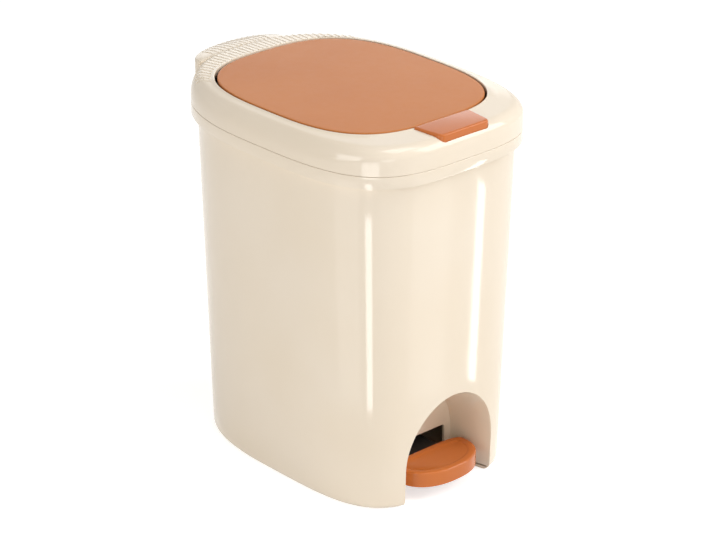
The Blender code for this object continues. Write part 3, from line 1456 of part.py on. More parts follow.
def build():
    clear_scene()
    make_barrel()
    make_base_cover()
    make_base_screws()
    make_axle_block("axle_block_left", -1)
    make_axle_block("axle_block_right", 1)
    make_axle()
    make_rod_guide("rod_guide_lower", GUIDE_SHARES[0])
    make_rod_guide("rod_guide_upper", GUIDE_SHARES[1])
    hang(make_pedal_group(), "pedal_pivot", (0, AXLE_Y, AXLE_HEIGHT))
    hang(make_rod(), "rod_slide", (0, ROD_Y, LEVER_REAR_TOP))
    hang([make_bucket()], "bucket_lift", (0, 0, BUCKET_BOTTOM))

    ring_pieces = [make_ring(), make_pin(), make_hinge_spring(), make_housing(), *make_springs()]
    bottom = HOUSING_TOP - HOUSING_TAB_THICKNESS - SCREW_HEAD_HEIGHT - FIT_GAP
    grip = HOUSING_TAB_THICKNESS + BOSS_RADIUS
    for number, (x, y) in enumerate(housing_screw_places(), 1):
        ring_pieces.append(make_screw(f"housing_screw_{number}", x, y, bottom, grip))
    ring_lift = hang(ring_pieces, "ring_lift", (0, 0, PARTING_HEIGHT))

    flap_pieces = [make_flap(), make_bracket(), make_catch()]
    head = SCREW_HEAD_HEIGHT + 2 * FIT_GAP
    bottom = FLAP_UNDERSIDE - BRACKET_PLATE - head
    for number, (x, y) in enumerate(bracket_screw_places(), 1):
        flap_pieces.append(make_screw(f"bracket_screw_{number}", x, y, bottom, BRACKET_PLATE + FLAP_PLATE / 2))
    x, y = catch_screw_place()
    bottom = FLAP_UNDERSIDE - CATCH_FOOT_THICKNESS - head
    flap_pieces.append(make_screw("catch_screw", x, y, bottom, CATCH_FOOT_THICKNESS + FLAP_PLATE / 2))
    hinge = hang(flap_pieces, "flap_hinge", (0, HINGE_Y, HINGE_HEIGHT))
    button = hang([make_button()], "button_slide", (0, BUTTON_REAR_Y - BUTTON_LENGTH / 2, BUTTON_TOP))
    bolt = hang([make_slider()], "latch_slide", (0, SLIDER_FRONT_Y, SLIDER_BOTTOM))
    for pivot in (hinge, button, bolt):
        pivot.parent = ring_lift
        pivot.matrix_parent_inverse = Matrix.Translation(-ring_lift.location)


build()
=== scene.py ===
"""Pedal bin: glossy moulded shells, satin flap and bright pedal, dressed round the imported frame.

Metres, Z up from the floor, the front with the pedal towards -Y. The shells are built from the sizes below; the
inner parts are carried over from the frame.
"""

from __future__ import annotations

import logging
import math
from dataclasses import astuple, dataclass, field
from enum import Enum
from functools import partial
from typing import Callable, Iterable, Sequence

import bmesh
import bpy
from bmesh.types import BMesh
from bpy.types import Material, Node, NodeSocket, NodeTree, Object
from mathutils import Matrix, Vector
from mathutils.bvhtree import BVHTree

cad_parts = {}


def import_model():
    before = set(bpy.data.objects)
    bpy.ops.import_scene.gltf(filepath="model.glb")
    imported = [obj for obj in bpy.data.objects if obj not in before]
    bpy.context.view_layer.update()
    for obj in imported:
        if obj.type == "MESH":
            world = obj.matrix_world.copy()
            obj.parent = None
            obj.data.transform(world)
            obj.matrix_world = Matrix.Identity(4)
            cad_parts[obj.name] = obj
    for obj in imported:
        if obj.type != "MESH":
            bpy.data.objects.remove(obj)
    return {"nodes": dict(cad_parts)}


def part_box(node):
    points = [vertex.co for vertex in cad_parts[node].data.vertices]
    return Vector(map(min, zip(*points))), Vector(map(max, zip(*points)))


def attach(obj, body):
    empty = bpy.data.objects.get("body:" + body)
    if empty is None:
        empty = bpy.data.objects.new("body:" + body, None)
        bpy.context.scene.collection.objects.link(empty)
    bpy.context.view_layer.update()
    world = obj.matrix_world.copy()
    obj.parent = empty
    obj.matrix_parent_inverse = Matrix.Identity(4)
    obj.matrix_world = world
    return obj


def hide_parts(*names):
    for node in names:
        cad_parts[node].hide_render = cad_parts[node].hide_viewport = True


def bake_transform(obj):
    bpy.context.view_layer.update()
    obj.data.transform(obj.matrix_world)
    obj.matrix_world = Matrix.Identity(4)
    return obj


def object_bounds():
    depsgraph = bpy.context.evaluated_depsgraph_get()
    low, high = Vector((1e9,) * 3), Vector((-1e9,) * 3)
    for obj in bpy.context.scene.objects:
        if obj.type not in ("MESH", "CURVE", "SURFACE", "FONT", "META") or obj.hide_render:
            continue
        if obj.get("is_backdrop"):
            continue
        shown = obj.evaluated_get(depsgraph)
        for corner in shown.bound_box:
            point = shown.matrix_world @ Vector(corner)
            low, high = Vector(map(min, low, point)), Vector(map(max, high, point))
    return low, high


LOG = logging.getLogger("pedal_bin")
PHOTO_WIDTH = 716
RING_POINTS = 224
CORNER_CROWDING = 0.11
ARC_POINTS = 6
HOLE_POINTS = 24
SHARP_FROM = 32.0
CUT, JOIN = "DIFFERENCE", "UNION"
SCREW_HOLE = 0.0018
SCREW_ROW = -0.12795
HINGE_PIN = (0.126, 0.326)

Ring = list[Vector]
Point2 = tuple[float, float]


class Body(Enum):
    """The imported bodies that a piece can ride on."""

    BARREL = "barrel"
    PEDAL = "pedal"
    ROD = "rod"
    RING = "ring"
    FLAP = "flap"
    BUTTON = "button"
    LATCH = "latch"
    BUCKET = "bucket"


class Slot(Enum):
    """The record's material slots."""

    CREAM = "cream_shell"
    FLAP = "flap_orange"
    ORANGE = "gloss_orange"
    NYLON = "grey_nylon"
    BUCKET = "bucket_grey"
    STEEL = "steel"


def linear(code: str) -> tuple[float, float, float, float]:
    """Turns an sRGB colour, six hex digits after a hash, to linear red, green, blue and an alpha of one."""
    parts = [int(code[i : i + 2], 16) / 255 for i in (1, 3, 5)]
    lit = [c / 12.92 if c <= 0.04045 else ((c + 0.055) / 1.055) ** 2.4 for c in parts]
    return (lit[0], lit[1], lit[2], 1.0)


def add_node(tree: NodeTree, kind: str, inputs: dict | None = None, **settings: object) -> Node:
    """Adds one node with its settings and links.

    Args:
        tree: the tree that gets the node.
        kind: the node's type name.
        inputs: a value or an output socket for each named or numbered input.
        **settings: attributes of the node itself.

    Returns:
        The new node.
    """
    made = tree.nodes.new(kind)
    for name, value in settings.items():
        setattr(made, name, value)
    for key, value in (inputs or {}).items():
        socket = made.inputs[key]
        if isinstance(value, NodeSocket):
            tree.links.new(value, socket)
        else:
            socket.default_value = value
    return made


def start_material(name: str) -> tuple[Material, NodeTree, Node]:
    """Starts a material and returns it with its tree and its Principled shader."""
    made = bpy.data.materials.new(name)
    made.use_nodes = True
    return made, made.node_tree, made.node_tree.nodes["Principled BSDF"]


def add_noise(
    tree: NodeTree, place: NodeSocket, size_mm: float, detail: float, roughness: float = 0.5
) -> NodeSocket:
    """Adds noise whose coarsest spots have a size in millimetres."""
    inputs = {"Vector": place, "Scale": 1000 / size_mm, "Detail": detail, "Roughness": roughness}
    return add_node(tree, "ShaderNodeTexNoise", inputs).outputs["Fac"]


def add_range(
    tree: NodeTree, value: NodeSocket, low: float, high: float, to_low: float = 0.0, to_high: float = 1.0
) -> NodeSocket:
    """Adds a map from one range of values to another, held at both ends."""
    inputs = {"Value": value, "From Min": low, "From Max": high, "To Min": to_low, "To Max": to_high}
    return add_node(tree, "ShaderNodeMapRange", inputs).outputs[0]


def add_relief(tree: NodeTree, shader: Node, height: NodeSocket, height_mm: float) -> None:
    """Gives a shader a fine relief of a height in millimetres."""
    bump = add_node(tree, "ShaderNodeBump", {"Height": height, "Strength": 1.0, "Distance": height_mm / 1000})
    tree.links.new(bump.outputs["Normal"], shader.inputs["Normal"])


@dataclass(frozen=True)
class Moulded:
    """Injection-moulded plastic: a body colour with a faint flow mottle, and the mould's fine grain in the gloss."""

    name: str
    colour: str
    flow_colour: str
    roughness: float
    roughness_spread: float
    grain_mm: float
    grain_height_mm: float
    flow_mm: float = 90.0
    ior: float = 1.49
    specular: float = 0.5
    scuff_mm: float = 7.0
    flow_range: Point2 = (0.35, 0.65)
    scuff_range: Point2 = (0.3, 0.75)

    def material(self) -> Material:
        """Builds the Principled material."""
        made, tree, shader = start_material(self.name)
        place = add_node(tree, "ShaderNodeTexCoord").outputs["Object"]
        flow = add_noise(tree, place, self.flow_mm, 2.0, 0.4)
        mottle = add_range(tree, flow, *self.flow_range)
        colours = {"Factor": mottle, 6: linear(self.colour), 7: linear(self.flow_colour)}
        tint = add_node(tree, "ShaderNodeMix", colours, data_type="RGBA")
        tree.links.new(tint.outputs[2], shader.inputs["Base Color"])
        scuff = add_noise(tree, place, self.scuff_mm, 4.0, 0.6)
        dullest = self.roughness + self.roughness_spread
        worn = add_range(tree, scuff, *self.scuff_range, self.roughness, dullest)
        tree.links.new(worn, shader.inputs["Roughness"])
        add_relief(tree, shader, add_noise(tree, place, self.grain_mm, 2.0), self.grain_height_mm)
        shader.inputs["IOR"].default_value = self.ior
        shader.inputs["Specular IOR Level"].default_value = self.specular
        return made


@dataclass(frozen=True)
class Plated:
    """Zinc-plated steel: a bright grey metal with drawing marks along it, a little dull between them."""

    name: str
    colour: str
    roughness: float
    mark_mm: float
    mark_height_mm: float
    mark_stretch: float = 0.15

    def material(self) -> Material:
        """Builds the Principled material."""
        made, tree, shader = start_material(self.name)
        shader.inputs["Base Color"].default_value = linear(self.colour)
        shader.inputs["Metallic"].default_value = 1.0
        place = add_node(tree, "ShaderNodeTexCoord").outputs["Object"]
        stretch = add_node(tree, "ShaderNodeMapping", {"Vector": place, "Scale": (1.0, 1.0, self.mark_stretch)})
        marks = add_noise(tree, stretch.outputs[0], self.mark_mm, 3.0)
        dull = add_range(tree, marks, 0.0, 1.0, self.roughness * 0.7, self.roughness * 1.4)
        tree.links.new(dull, shader.inputs["Roughness"])
        add_relief(tree, shader, marks, self.mark_height_mm)
        return made


# Polypropylene, moulded in a polished tool: bright soft-edged reflections over a warm cream
CREAM_PP = Moulded("cream_polypropylene_polished", "#F1E4D1", "#EFE1CC", 0.09, 0.03, 3.0, 0.0025)
# The same plastic inside, where the tool isn't polished
CREAM_INSIDE = Moulded("cream_polypropylene_plain", "#EDE0CC", "#E9DBC5", 0.38, 0.10, 1.2, 0.010)
# Polypropylene with a spark-eroded grain: satin, a broad veil of light
FLAP_SATIN = Moulded("orange_polypropylene_satin", "#CB7F44", "#C77A3F", 0.42, 0.06, 0.9, 0.012, specular=0.28)
# Polypropylene from a polished tool: wet-looking orange
ORANGE_GLOSS = Moulded("orange_polypropylene_gloss", "#CE7436", "#C96F31", 0.12, 0.04, 2.5, 0.003, specular=0.30)
# Natural nylon with a grey tint: dull with a fine tooth
NYLON = Moulded("grey_nylon_moulded", "#A5A29B", "#9D9A93", 0.48, 0.12, 0.8, 0.012, flow_mm=25.0)
# The same nylon, coloured nearly black as painted shade: the lever that works under the floor shows through the slot in
# the niche wall, and its dark colour stands for the shade there
NYLON_PAINTED_SHADE = Moulded("nylon_painted_slot_shade", "#2E2C2A", "#292725", 0.46, 0.12, 0.8, 0.012, flow_mm=25.0)
# Recycled polypropylene of the bucket: plain, slightly streaked
BUCKET_PP = Moulded("grey_polypropylene_bucket", "#8F8D88", "#868480", 0.36, 0.12, 1.4, 0.012, flow_mm=60.0)
ZINC = Plated("steel_zinc_plated", "#B9B9BA", 0.28, 1.2, 0.004)


@dataclass(frozen=True)
class Outline:
    """A rounded rectangle in plan whose front and rear halves have their own depth and squareness."""

    half_width: float
    front: float
    rear: float
    front_power: float
    rear_power: float
    middle: float = 0.0

    def ring(self, height: float, inset: float = 0.0, count: int = RING_POINTS) -> Ring:
        """The outline's points at a height, set in from it, anticlockwise seen from above."""
        points = []
        for i in range(count):
            turn = math.tau * i / count
            angle = turn + CORNER_CROWDING * math.sin(4 * turn)
            across, along = math.cos(angle), math.sin(angle)
            power = self.rear_power if along > 0 else self.front_power
            depth = (self.rear if along > 0 else self.front) - inset
            reach = (abs(across) ** power + abs(along) ** power) ** (-1 / power)
            points.append(
                Vector(((self.half_width - inset) * across * reach, self.middle + depth * along * reach, height))
            )
        return points

    def toward(self, other: Outline, share: float) -> Outline:
        """The outline that lies a share of the way to another."""
        return Outline(*(a + (b - a) * share for a, b in zip(astuple(self), astuple(other))))


RIM = Outline(0.1092, 0.1452, 0.1452, 3.5, 2.55)
NECK = Outline(0.1039, 0.1399, 0.1399, 3.5, 2.55)
FOOT = Outline(0.0932, 0.1310, 0.1310, 3.8, 2.8)
OPENING = Outline(0.0936, 0.1135, 0.1137, 3.1, 2.9)
FLAP_PLAN = Outline(0.0918, 0.1117, 0.1110, 3.1, 2.9)
FOOT_HEIGHT = 0.0074
NECK_TOP = 0.3000
PARTING = 0.3140
RING_TOP = 0.3400


def arc(u: float, v: float, radius: float, start: float, end: float, steps: int = ARC_POINTS) -> list[Point2]:
    """Points on an arc in a plane, by its centre, radius and two angles in degrees."""
    spread = [math.radians(start + (end - start) * i / steps) for i in range(steps + 1)]
    return [(u + radius * math.cos(a), v + radius * math.sin(a)) for a in spread]


def rectangle(x: Point2, y: Point2) -> list[Point2]:
    """The corners of a rectangle in plan, by its two spans."""
    return [(x[0], y[0]), (x[1], y[0]), (x[1], y[1]), (x[0], y[1])]


def skin(rings: Sequence[Ring], closed: bool = False) -> BMesh:
    """Joins rings of equal count into one closed skin.

    Args:
        rings: the rings in order.
        closed: True where the last ring meets the first; otherwise both ends are capped.

    Returns:
        The mesh, its faces turned outwards.
    """
    shape = bmesh.new()
    loops = [[shape.verts.new(point) for point in ring] for ring in rings]
    pairs = list(zip(loops, loops[1:]))
    if closed:
        pairs.append((loops[-1], loops[0]))
    for lower, upper in pairs:
        count = len(lower)
        for i in range(count):
            j = (i + 1) % count
            shape.faces.new((lower[i], lower[j], upper[j], upper[i]))
    if not closed:
        shape.faces.new(loops[0])
        shape.faces.new(loops[-1])
    bmesh.ops.recalc_face_normals(shape, faces=shape.faces)
    return shape


def prism(profile: Iterable[Point2], start: float, end: float, axis: str = "Z") -> BMesh:
    """Pulls a flat profile along an axis."""

    def place(u: float, v: float, along: float) -> Vector:
        """A point of the profile at a place along the axis."""
        if axis == "X":
            return Vector((along, u, v))
        if axis == "Y":
            return Vector((u, along, v))
        return Vector((u, v, along))

    outline = list(profile)
    return skin([[place(u, v, at) for u, v in outline] for at in (start, end)])


def shade(piece: Object, sharp: float = SHARP_FROM) -> None:
    """Shades a piece smooth but for the edges sharper than an angle in degrees."""
    piece.data.shade_smooth()
    piece.data.set_sharp_from_angle(angle=math.radians(sharp))


def drum(
    u: float, v: float, radius: float, start: float, end: float, count: int = HOLE_POINTS, axis: str = "Z"
) -> BMesh:
    """A round bar along an axis, for a hole or a post."""
    return prism(arc(u, v, radius, 0, 360, count)[:-1], start, end, axis)


def as_object(name: str, shape: BMesh) -> Object:
    """Turns a mesh being built, which is freed, into a shaded and linked object at the origin."""
    mesh = bpy.data.meshes.new(name)
    shape.to_mesh(mesh)
    shape.free()
    made = bpy.data.objects.new(name, mesh)
    shade(made)
    bpy.context.scene.collection.objects.link(made)
    return made


def copy_of(piece: Object) -> Object:
    """A copy of a piece with its own mesh, left out of the scene."""
    made = piece.copy()
    made.data = piece.data.copy()
    return made


def settle(piece: Object) -> Object:
    """Bakes a piece's modifiers into its mesh."""
    bpy.context.view_layer.update()
    baked = bpy.data.meshes.new_from_object(piece.evaluated_get(bpy.context.evaluated_depsgraph_get()))
    piece.modifiers.clear()
    old = piece.data
    piece.data = baked
    bpy.data.meshes.remove(old)
    return piece


def discard(piece: Object) -> None:
    """Removes an object and its mesh."""
    mesh = piece.data
    bpy.data.objects.remove(piece)
    bpy.data.meshes.remove(mesh)


def work(piece: Object, tool: BMesh | Object, operation: str) -> None:
    """Cuts a piece with a tool, joins them or keeps what they share; the tool is used up."""
    if isinstance(tool, BMesh):
        tool = as_object("tool", tool)
    step = piece.modifiers.new("work", "BOOLEAN")
    step.operation = operation
    step.solver = "EXACT"
    step.object = tool
    settle(piece)
    discard(tool)


def soften(piece: Object, wanted: Callable[[Vector, float], bool], width: float, steps: int = 2) -> None:
    """Rounds the edges that a test picks.

    Args:
        piece: the object whose mesh is changed.
        wanted: takes an edge's middle and its angle in degrees, and says whether the edge is rounded.
        width: the rounding's width.
        steps: the number of facets across it.
    """
    shape = bmesh.new()
    shape.from_mesh(piece.data)
    speck = 1e-5
    bmesh.ops.remove_doubles(shape, verts=shape.verts, dist=speck)
    bmesh.ops.dissolve_degenerate(shape, edges=shape.edges, dist=speck)
    picked = [
        edge
        for edge in shape.edges
        if len(edge.link_faces) == 2
        and wanted((edge.verts[0].co + edge.verts[1].co) / 2, math.degrees(edge.calc_face_angle(0)))
    ]
    bmesh.ops.bevel(
        shape, geom=picked, offset=width, segments=steps, profile=0.5, affect="EDGES", clamp_overlap=True
    )
    shape.to_mesh(piece.data)
    shape.free()


def carry_normals(piece: Object, pattern: Object, reach: float = 4.8e-4) -> None:
    """Gives a cut piece the shading of the uncut skin wherever it still lies on it.

    Args:
        piece: the object that was cut.
        pattern: the skin before the cuts; it is used up.
        reach: how near a corner has to lie to the plane of the skin's nearest face.
    """
    mesh, skin_mesh = piece.data, pattern.data
    tree = BVHTree.FromPolygons(
        [v.co for v in skin_mesh.vertices], [tuple(p.vertices) for p in skin_mesh.polygons], epsilon=0.0
    )
    skin_normals = [Vector(c.vector) for c in skin_mesh.corner_normals]
    own = [Vector(c.vector) for c in mesh.corner_normals]
    same_way = 0.9
    for face in mesh.polygons:
        for corner in face.loop_indices:
            here = mesh.vertices[mesh.loops[corner].vertex_index].co
            _, flat, index, _ = tree.find_nearest(here.lerp(face.center, 0.02))
            if index is None or face.normal.dot(flat) < same_way:
                continue
            match = skin_mesh.polygons[index]
            if abs((here - match.center).dot(flat)) > reach:
                continue
            total = Vector()
            for loop in match.loop_indices:
                away = (skin_mesh.vertices[skin_mesh.loops[loop].vertex_index].co - here).length
                total += skin_normals[loop] / max(away, 1e-7) ** 2
            own[corner] = total.normalized()
    mesh.normals_split_custom_set([tuple(n) for n in own])
    discard(pattern)


def dress(piece: Object, finish: Material, body: Body, slot: Slot, stands_for: Iterable[str] = ()) -> Object:
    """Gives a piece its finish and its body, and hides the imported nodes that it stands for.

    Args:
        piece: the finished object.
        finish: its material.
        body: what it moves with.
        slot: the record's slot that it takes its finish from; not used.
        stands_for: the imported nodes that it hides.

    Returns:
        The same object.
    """
    piece.data.materials.clear()
    piece.data.materials.append(finish)
    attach(piece, body.value)
    for node in stands_for:
        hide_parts(node)
    LOG.info("%s: %d faces on %s", piece.name, len(piece.data.polygons), body.value)
    return piece


@dataclass
class Finishes:
    """The finishes that the sub-assemblies share, each built once."""

    cream: Material = field(default_factory=CREAM_PP.material)
    cream_inside: Material = field(default_factory=CREAM_INSIDE.material)
    flap: Material = field(default_factory=FLAP_SATIN.material)
    orange: Material = field(default_factory=ORANGE_GLOSS.material)
    nylon: Material = field(default_factory=NYLON.material)
    # nearly black nylon for the lever: painted shade for the slot that it shows through
    nylon_painted_shade: Material = field(default_factory=NYLON_PAINTED_SHADE.material)
    bucket: Material = field(default_factory=BUCKET_PP.material)
    zinc: Material = field(default_factory=ZINC.material)


@dataclass
class Barrel:
    """The tapered shell with its rim flange, floor and foot niche, and the plate under it."""

    finishes: Finishes
    wall: float = 0.0024
    flange: float = 0.0053
    flange_bottom: float = 0.3030
    seam: float = 0.0037
    floor_height: float = 0.0380
    floor_thickness: float = 0.0025
    niche_back: float = 0.0430
    niche_mouth: float = 0.0512
    niche_back_rise: float = 0.0440
    niche_rise: float = 0.0583
    niche_depth: float = 0.0460
    niche_spring: float = 0.0345
    niche_wall: float = 0.0022
    flare_power: float = 1.3
    slot_half_width: float = 0.0360
    slot_top: float = 0.0350
    cover_thickness: float = 0.0026
    mouth_round: float = 0.0020
    rod_y: float = 0.1165
    rod_hole: float = 0.0047
    cove: float = 0.0041
    floor_corner: float = 0.0030
    cover_gap: float = 0.0003
    cover_rib_x: float = 0.040
    cover_rib_half: float = 0.001
    cover_rib_ends: Point2 = (-0.0590, 0.1030)
    cover_rib_height: float = 0.0040
    cover_screws: tuple[Point2, ...] = (
        (-0.0672, -0.0610), (0.0672, -0.0610), (-0.0672, 0.0790), (0.0672, 0.0790), (-0.0262, -0.03), (0.0262, -0.03)
    )

    def wall_ring(self, height: float, inset: float) -> Ring:
        """The barrel's plan at a height, set in from its outer wall."""
        rise = min(max((height - FOOT_HEIGHT) / (NECK_TOP - FOOT_HEIGHT), 0.0), 1.0)
        return FOOT.toward(NECK, rise).ring(height, inset)

    def foot_inset(self, height: float) -> float:
        """How far the rounding of the foot edge lies inside the wall at a height."""
        return FOOT_HEIGHT - math.sqrt(FOOT_HEIGHT**2 - (FOOT_HEIGHT - height) ** 2)

    def niche(self, grow: float, bottom: float, past: float = 0.35) -> BMesh:
        """The niche's room, or with grow its walls, as a cutter.

        Args:
            grow: how far outside the room the skin lies.
            bottom: the height that it reaches down to.
            past: how far it runs on past the mouth, as a share of the depth.

        Returns:
            The cutter.
        """
        rings = []
        stations = 18
        for i in range(stations + 1):
            share = (1 + past) * i / stations
            flare = share**self.flare_power
            half = self.niche_back + (self.niche_mouth - self.niche_back) * flare + grow
            rise = self.niche_back_rise + (self.niche_rise - self.niche_back_rise) * flare + grow
            y = self.niche_depth - FOOT.front - self.niche_depth * share + (grow if i == 0 else 0)
            top = [(half * u, self.niche_spring + rise * v) for u, v in arc(0, 0, 1, 180, 0, 64)]
            rings.append([Vector((x, y, z)) for x, z in [(-half, bottom), *top, (half, bottom)]])
        return skin(rings)

    def shell(self) -> Object:
        """The uncut shell, from the lower cavity over the rim to the floor."""
        rim = -self.flange
        steps = [(self.floor_height, self.wall), (FOOT_HEIGHT, self.wall)]
        steps += [(self.seam, self.wall + self.foot_inset(self.seam)), (self.seam, self.foot_inset(self.seam))]
        steps += [(self.seam + 0.0010, self.foot_inset(self.seam + 0.0010)), (FOOT_HEIGHT, 0.0)]
        rise = (NECK_TOP - FOOT_HEIGHT) / 16
        steps += [(FOOT_HEIGHT + rise * i, 0.0) for i in range(1, 17)]
        cove = arc(NECK_TOP, rim + 0.0012, self.cove, 90, 20)
        steps += [(z, min(inset, 0.0)) for z, inset in cove[1:]]
        steps += [(self.flange_bottom + 0.0004, rim + 0.0003), (self.flange_bottom + 0.0011, rim)]
        steps += [(PARTING - 0.0003, rim), (PARTING, rim + 0.0002)]
        steps += [(PARTING, rim + self.wall), (self.flange_bottom + 0.0012, rim + self.wall), (NECK_TOP, self.wall)]
        corner, top = self.floor_corner, self.floor_height + self.floor_thickness
        steps += [(top + corner * (1 - math.sin(a)), self.wall + corner * (1 - math.cos(a)))
                  for a in (0.0, 0.4, 0.8, 1.2, math.pi / 2)]
        return as_object("outer_barrel_shell", skin([self.wall_ring(z, inset) for z, inset in steps]))

    def build_shell(self) -> None:
        """Builds the barrel with its niche and dresses it."""
        shell = self.shell()
        pattern = copy_of(shell)
        walls = as_object("niche_walls", self.niche(self.niche_wall, self.seam + self.cover_gap))
        work(walls, skin([self.wall_ring(z, self.wall / 2) for z in (self.seam, 0.151)]), "INTERSECT")
        work(shell, walls, JOIN)
        work(shell, self.niche(0.0, -0.004), CUT)
        back = self.niche_depth - FOOT.front
        slot = prism(
            [(-self.slot_half_width, -0.004), (self.slot_half_width, -0.004),
             *arc(self.slot_half_width - 0.003, self.slot_top - 0.003, 0.003, 0, 90),
             *arc(-self.slot_half_width + 0.003, self.slot_top - 0.003, 0.003, 90, 180)],
            back - 0.004, back + 0.0062, "Y",
        )
        work(shell, slot, CUT)
        work(shell, drum(0, self.rod_y, self.rod_hole, self.floor_height - 0.004, 0.0445, 32), CUT)

        def mouth_edge(middle: Vector, angle: float) -> bool:
            """Picks the edge between the outer wall and the niche."""
            return angle > 35 and middle.y < -0.112 and 0.006 < middle.z < 0.097 and abs(middle.x) < 0.056

        soften(shell, mouth_edge, self.mouth_round)
        shade(shell)
        carry_normals(shell, pattern)
        dress(shell, self.finishes.cream, Body.BARREL, Slot.CREAM, ["outer_barrel"])

    def build_cover(self) -> None:
        """Builds the plate under the barrel, its edge carrying on the rounding of the foot."""
        top = self.seam - self.cover_gap
        rings = [self.wall_ring(top * s, self.foot_inset(top * s)) for s in (0.0, 0.08, 0.2, 0.4, 0.65, 1.0)]
        rings += [self.wall_ring(top, self.wall), self.wall_ring(self.cover_thickness, self.wall + 0.0011)]
        cover = as_object("base_cover_plate", skin(rings))
        rib_top = self.cover_thickness + self.cover_rib_height
        for side in (-1, 1):
            span = (side * self.cover_rib_x - self.cover_rib_half, side * self.cover_rib_x + self.cover_rib_half)
            work(cover, prism(rectangle(span, self.cover_rib_ends), self.cover_thickness / 2, rib_top), JOIN)
        work(cover, self.niche(0.0, -0.004), CUT)
        for x, y in self.cover_screws:
            for radius, height in ((SCREW_HOLE, 0.0070), (0.0034, 0.0017)):
                work(cover, drum(x, y, radius, -0.002, height), CUT)
        shade(cover)
        dress(cover, self.finishes.cream, Body.BARREL, Slot.CREAM, ["base_cover"])


@dataclass
class LidRing:
    """The ring that carries the flap, with the bow-shaped lifting ledge at its rear."""

    finishes: Finishes
    wall: float = 0.0024
    shoulder_drop: float = 0.0020
    shoulder_width: float = 0.0105
    side_tall: float = 0.0191
    front_tall: float = 0.0105
    round_until: float = 0.1330
    round_from: float = 0.0700
    lip: float = 0.0020
    lip_depth: float = 0.0052
    ledge: Outline = Outline(0.0500, 0.0052, 0.0247, 2.1, 2.1, 0.1400)
    ledge_top: float = 0.3338
    ledge_depth: float = 0.0140
    ledge_round: float = 0.0026
    ledge_rise: float = 0.0034
    ear: float = 0.0060
    pin_bore: float = 0.0023
    boss: float = 0.0045
    boss_x: float = 0.037
    rib_count: int = 35
    rib_step: float = 0.051

    def ring(self, share: float, inset: float, height: float) -> Ring:
        """The plan at a share of the way from the rim to the opening."""
        return RIM.toward(OPENING, share).ring(height, inset)

    def shoulder(self, inset: float, start: float, end: float, steps: int = 14) -> list[Ring]:
        """Rings on the elliptic shoulder, which is taller along the sides than at the front.

        Args:
            inset: how far inside the shoulder's surface they lie.
            start: the first angle in degrees, 180 being the side and 90 the crest.
            end: the last angle.
            steps: the number of rings less one.

        Returns:
            The rings.
        """
        crest = RING_TOP - self.shoulder_drop - inset
        rings = []
        for u, v in arc(0, 0, 1, start, end, steps):
            ring = self.ring(0, self.shoulder_width + (self.shoulder_width - inset) * u, crest)
            for point in ring:
                ease = min(max((point.y + self.round_until) / (self.round_until - self.round_from), 0.0), 1.0)
                tall = self.front_tall + (self.side_tall - self.front_tall) * ease * ease * (3 - 2 * ease)
                point.z -= (tall - inset) * (1 - v)
            rings.append(ring)
        return rings

    def body(self) -> Object:
        """The uncut ring as one closed loop of profile."""
        crest = RING_TOP - self.shoulder_drop
        seat = PARTING + 0.0003
        steps = [(0, 0.0002, seat), (0, 0.0, seat + 0.0003)]
        rings = [self.ring(*step) for step in steps] + self.shoulder(0.0, 180, 90)
        steps = [(0.5, self.shoulder_width / 2 - self.lip / 2, crest * 0.42 + 0.3386 * 0.58)]
        steps += [
            (1, -self.lip, 0.3386), (1, -0.0012, 0.3392), (1, -0.0006, 0.3393), (1, -0.0001, 0.3389),
            (1, 0.0, 0.3382), (1, 0.0, RING_TOP - self.lip_depth), (1, -self.lip, RING_TOP - self.lip_depth),
            (1, -self.lip, 0.3362),
        ]
        rings += [self.ring(*step) for step in steps] + self.shoulder(self.wall, 90, 180, 6)
        steps = [(0, 0.0046, 0.3167), (0, 0.0046, 0.3060), (0, 0.0028, 0.3060), (0, 0.0028, seat)]
        return as_object("lid_ring_shell", skin(rings + [self.ring(*step) for step in steps], closed=True))

    def ledge_solid(self) -> Object:
        """The ledge: a bow in plan that runs on from the shoulder, hollow below for the fingers."""
        top, low = self.ledge_top, self.ledge_top - self.ledge_depth
        steps = [(top - self.wall, self.wall), (low, self.wall), (low, 0.0004), (low + 0.0004, 0.0001),
                 (low + 0.0010, 0.0), (top - self.ledge_round, 0.0)]
        steps += [(z, self.ledge_round - r) for r, z in arc(0, top - self.ledge_round, self.ledge_round, 0, 80, 6)[1:]]
        rings = [self.ledge.ring(z, inset, 96) for z, inset in steps]
        middle = Vector((0.0, self.ledge.middle, top))
        for share in (0.15, 0.35, 0.6, 0.85):
            rise = Vector((0.0, 0.0, self.ledge_rise * math.sin(share * math.pi / 2)))
            rings.append([point.lerp(middle, share) + rise for point in rings[len(steps) - 1]])
        ledge = as_object("ledge_tool", skin(rings))
        half = self.wall / 2
        work(ledge, skin([self.ring(0, half, 0.3060), *self.shoulder(half, 180, 90)]), CUT)
        return ledge

    def build(self) -> Object:
        """Builds the ring with its ledge, ears and button hole, and dresses it."""
        ring = self.body()
        pattern = copy_of(ring)
        work(ring, self.ledge_solid(), JOIN)
        for side in (-1, 1):
            ear = prism(
                [(0.120, 0.3378), (0.132, 0.3370), *arc(*HINGE_PIN, self.ear, 0, -180, 16)],
                side * 0.0248, side * 0.0278, "X",
            )
            work(ring, ear, JOIN)
            work(ring, drum(side * self.boss_x, SCREW_ROW, self.boss, 0.3298, 0.3370, 32), JOIN)
            work(ring, drum(side * self.boss_x, SCREW_ROW, SCREW_HOLE, 0.3280, 0.3362), CUT)
        work(ring, drum(*HINGE_PIN, self.pin_bore, -0.030, 0.030, axis="X"), CUT)
        work(ring, skin([Button.plan(z, 0.0004) for z in (0.3295, 0.3440)]), CUT)

        def hole_edge(middle: Vector, angle: float) -> bool:
            """Picks the upper edge of the button hole."""
            return angle > 50 and middle.y < -0.1125 and abs(middle.x) < 0.034 and middle.z > 0.3335

        soften(ring, hole_edge, 0.0004)
        shade(ring)
        carry_normals(ring, pattern)
        return dress(ring, self.finishes.cream, Body.RING, Slot.CREAM, ["lid_ring"])

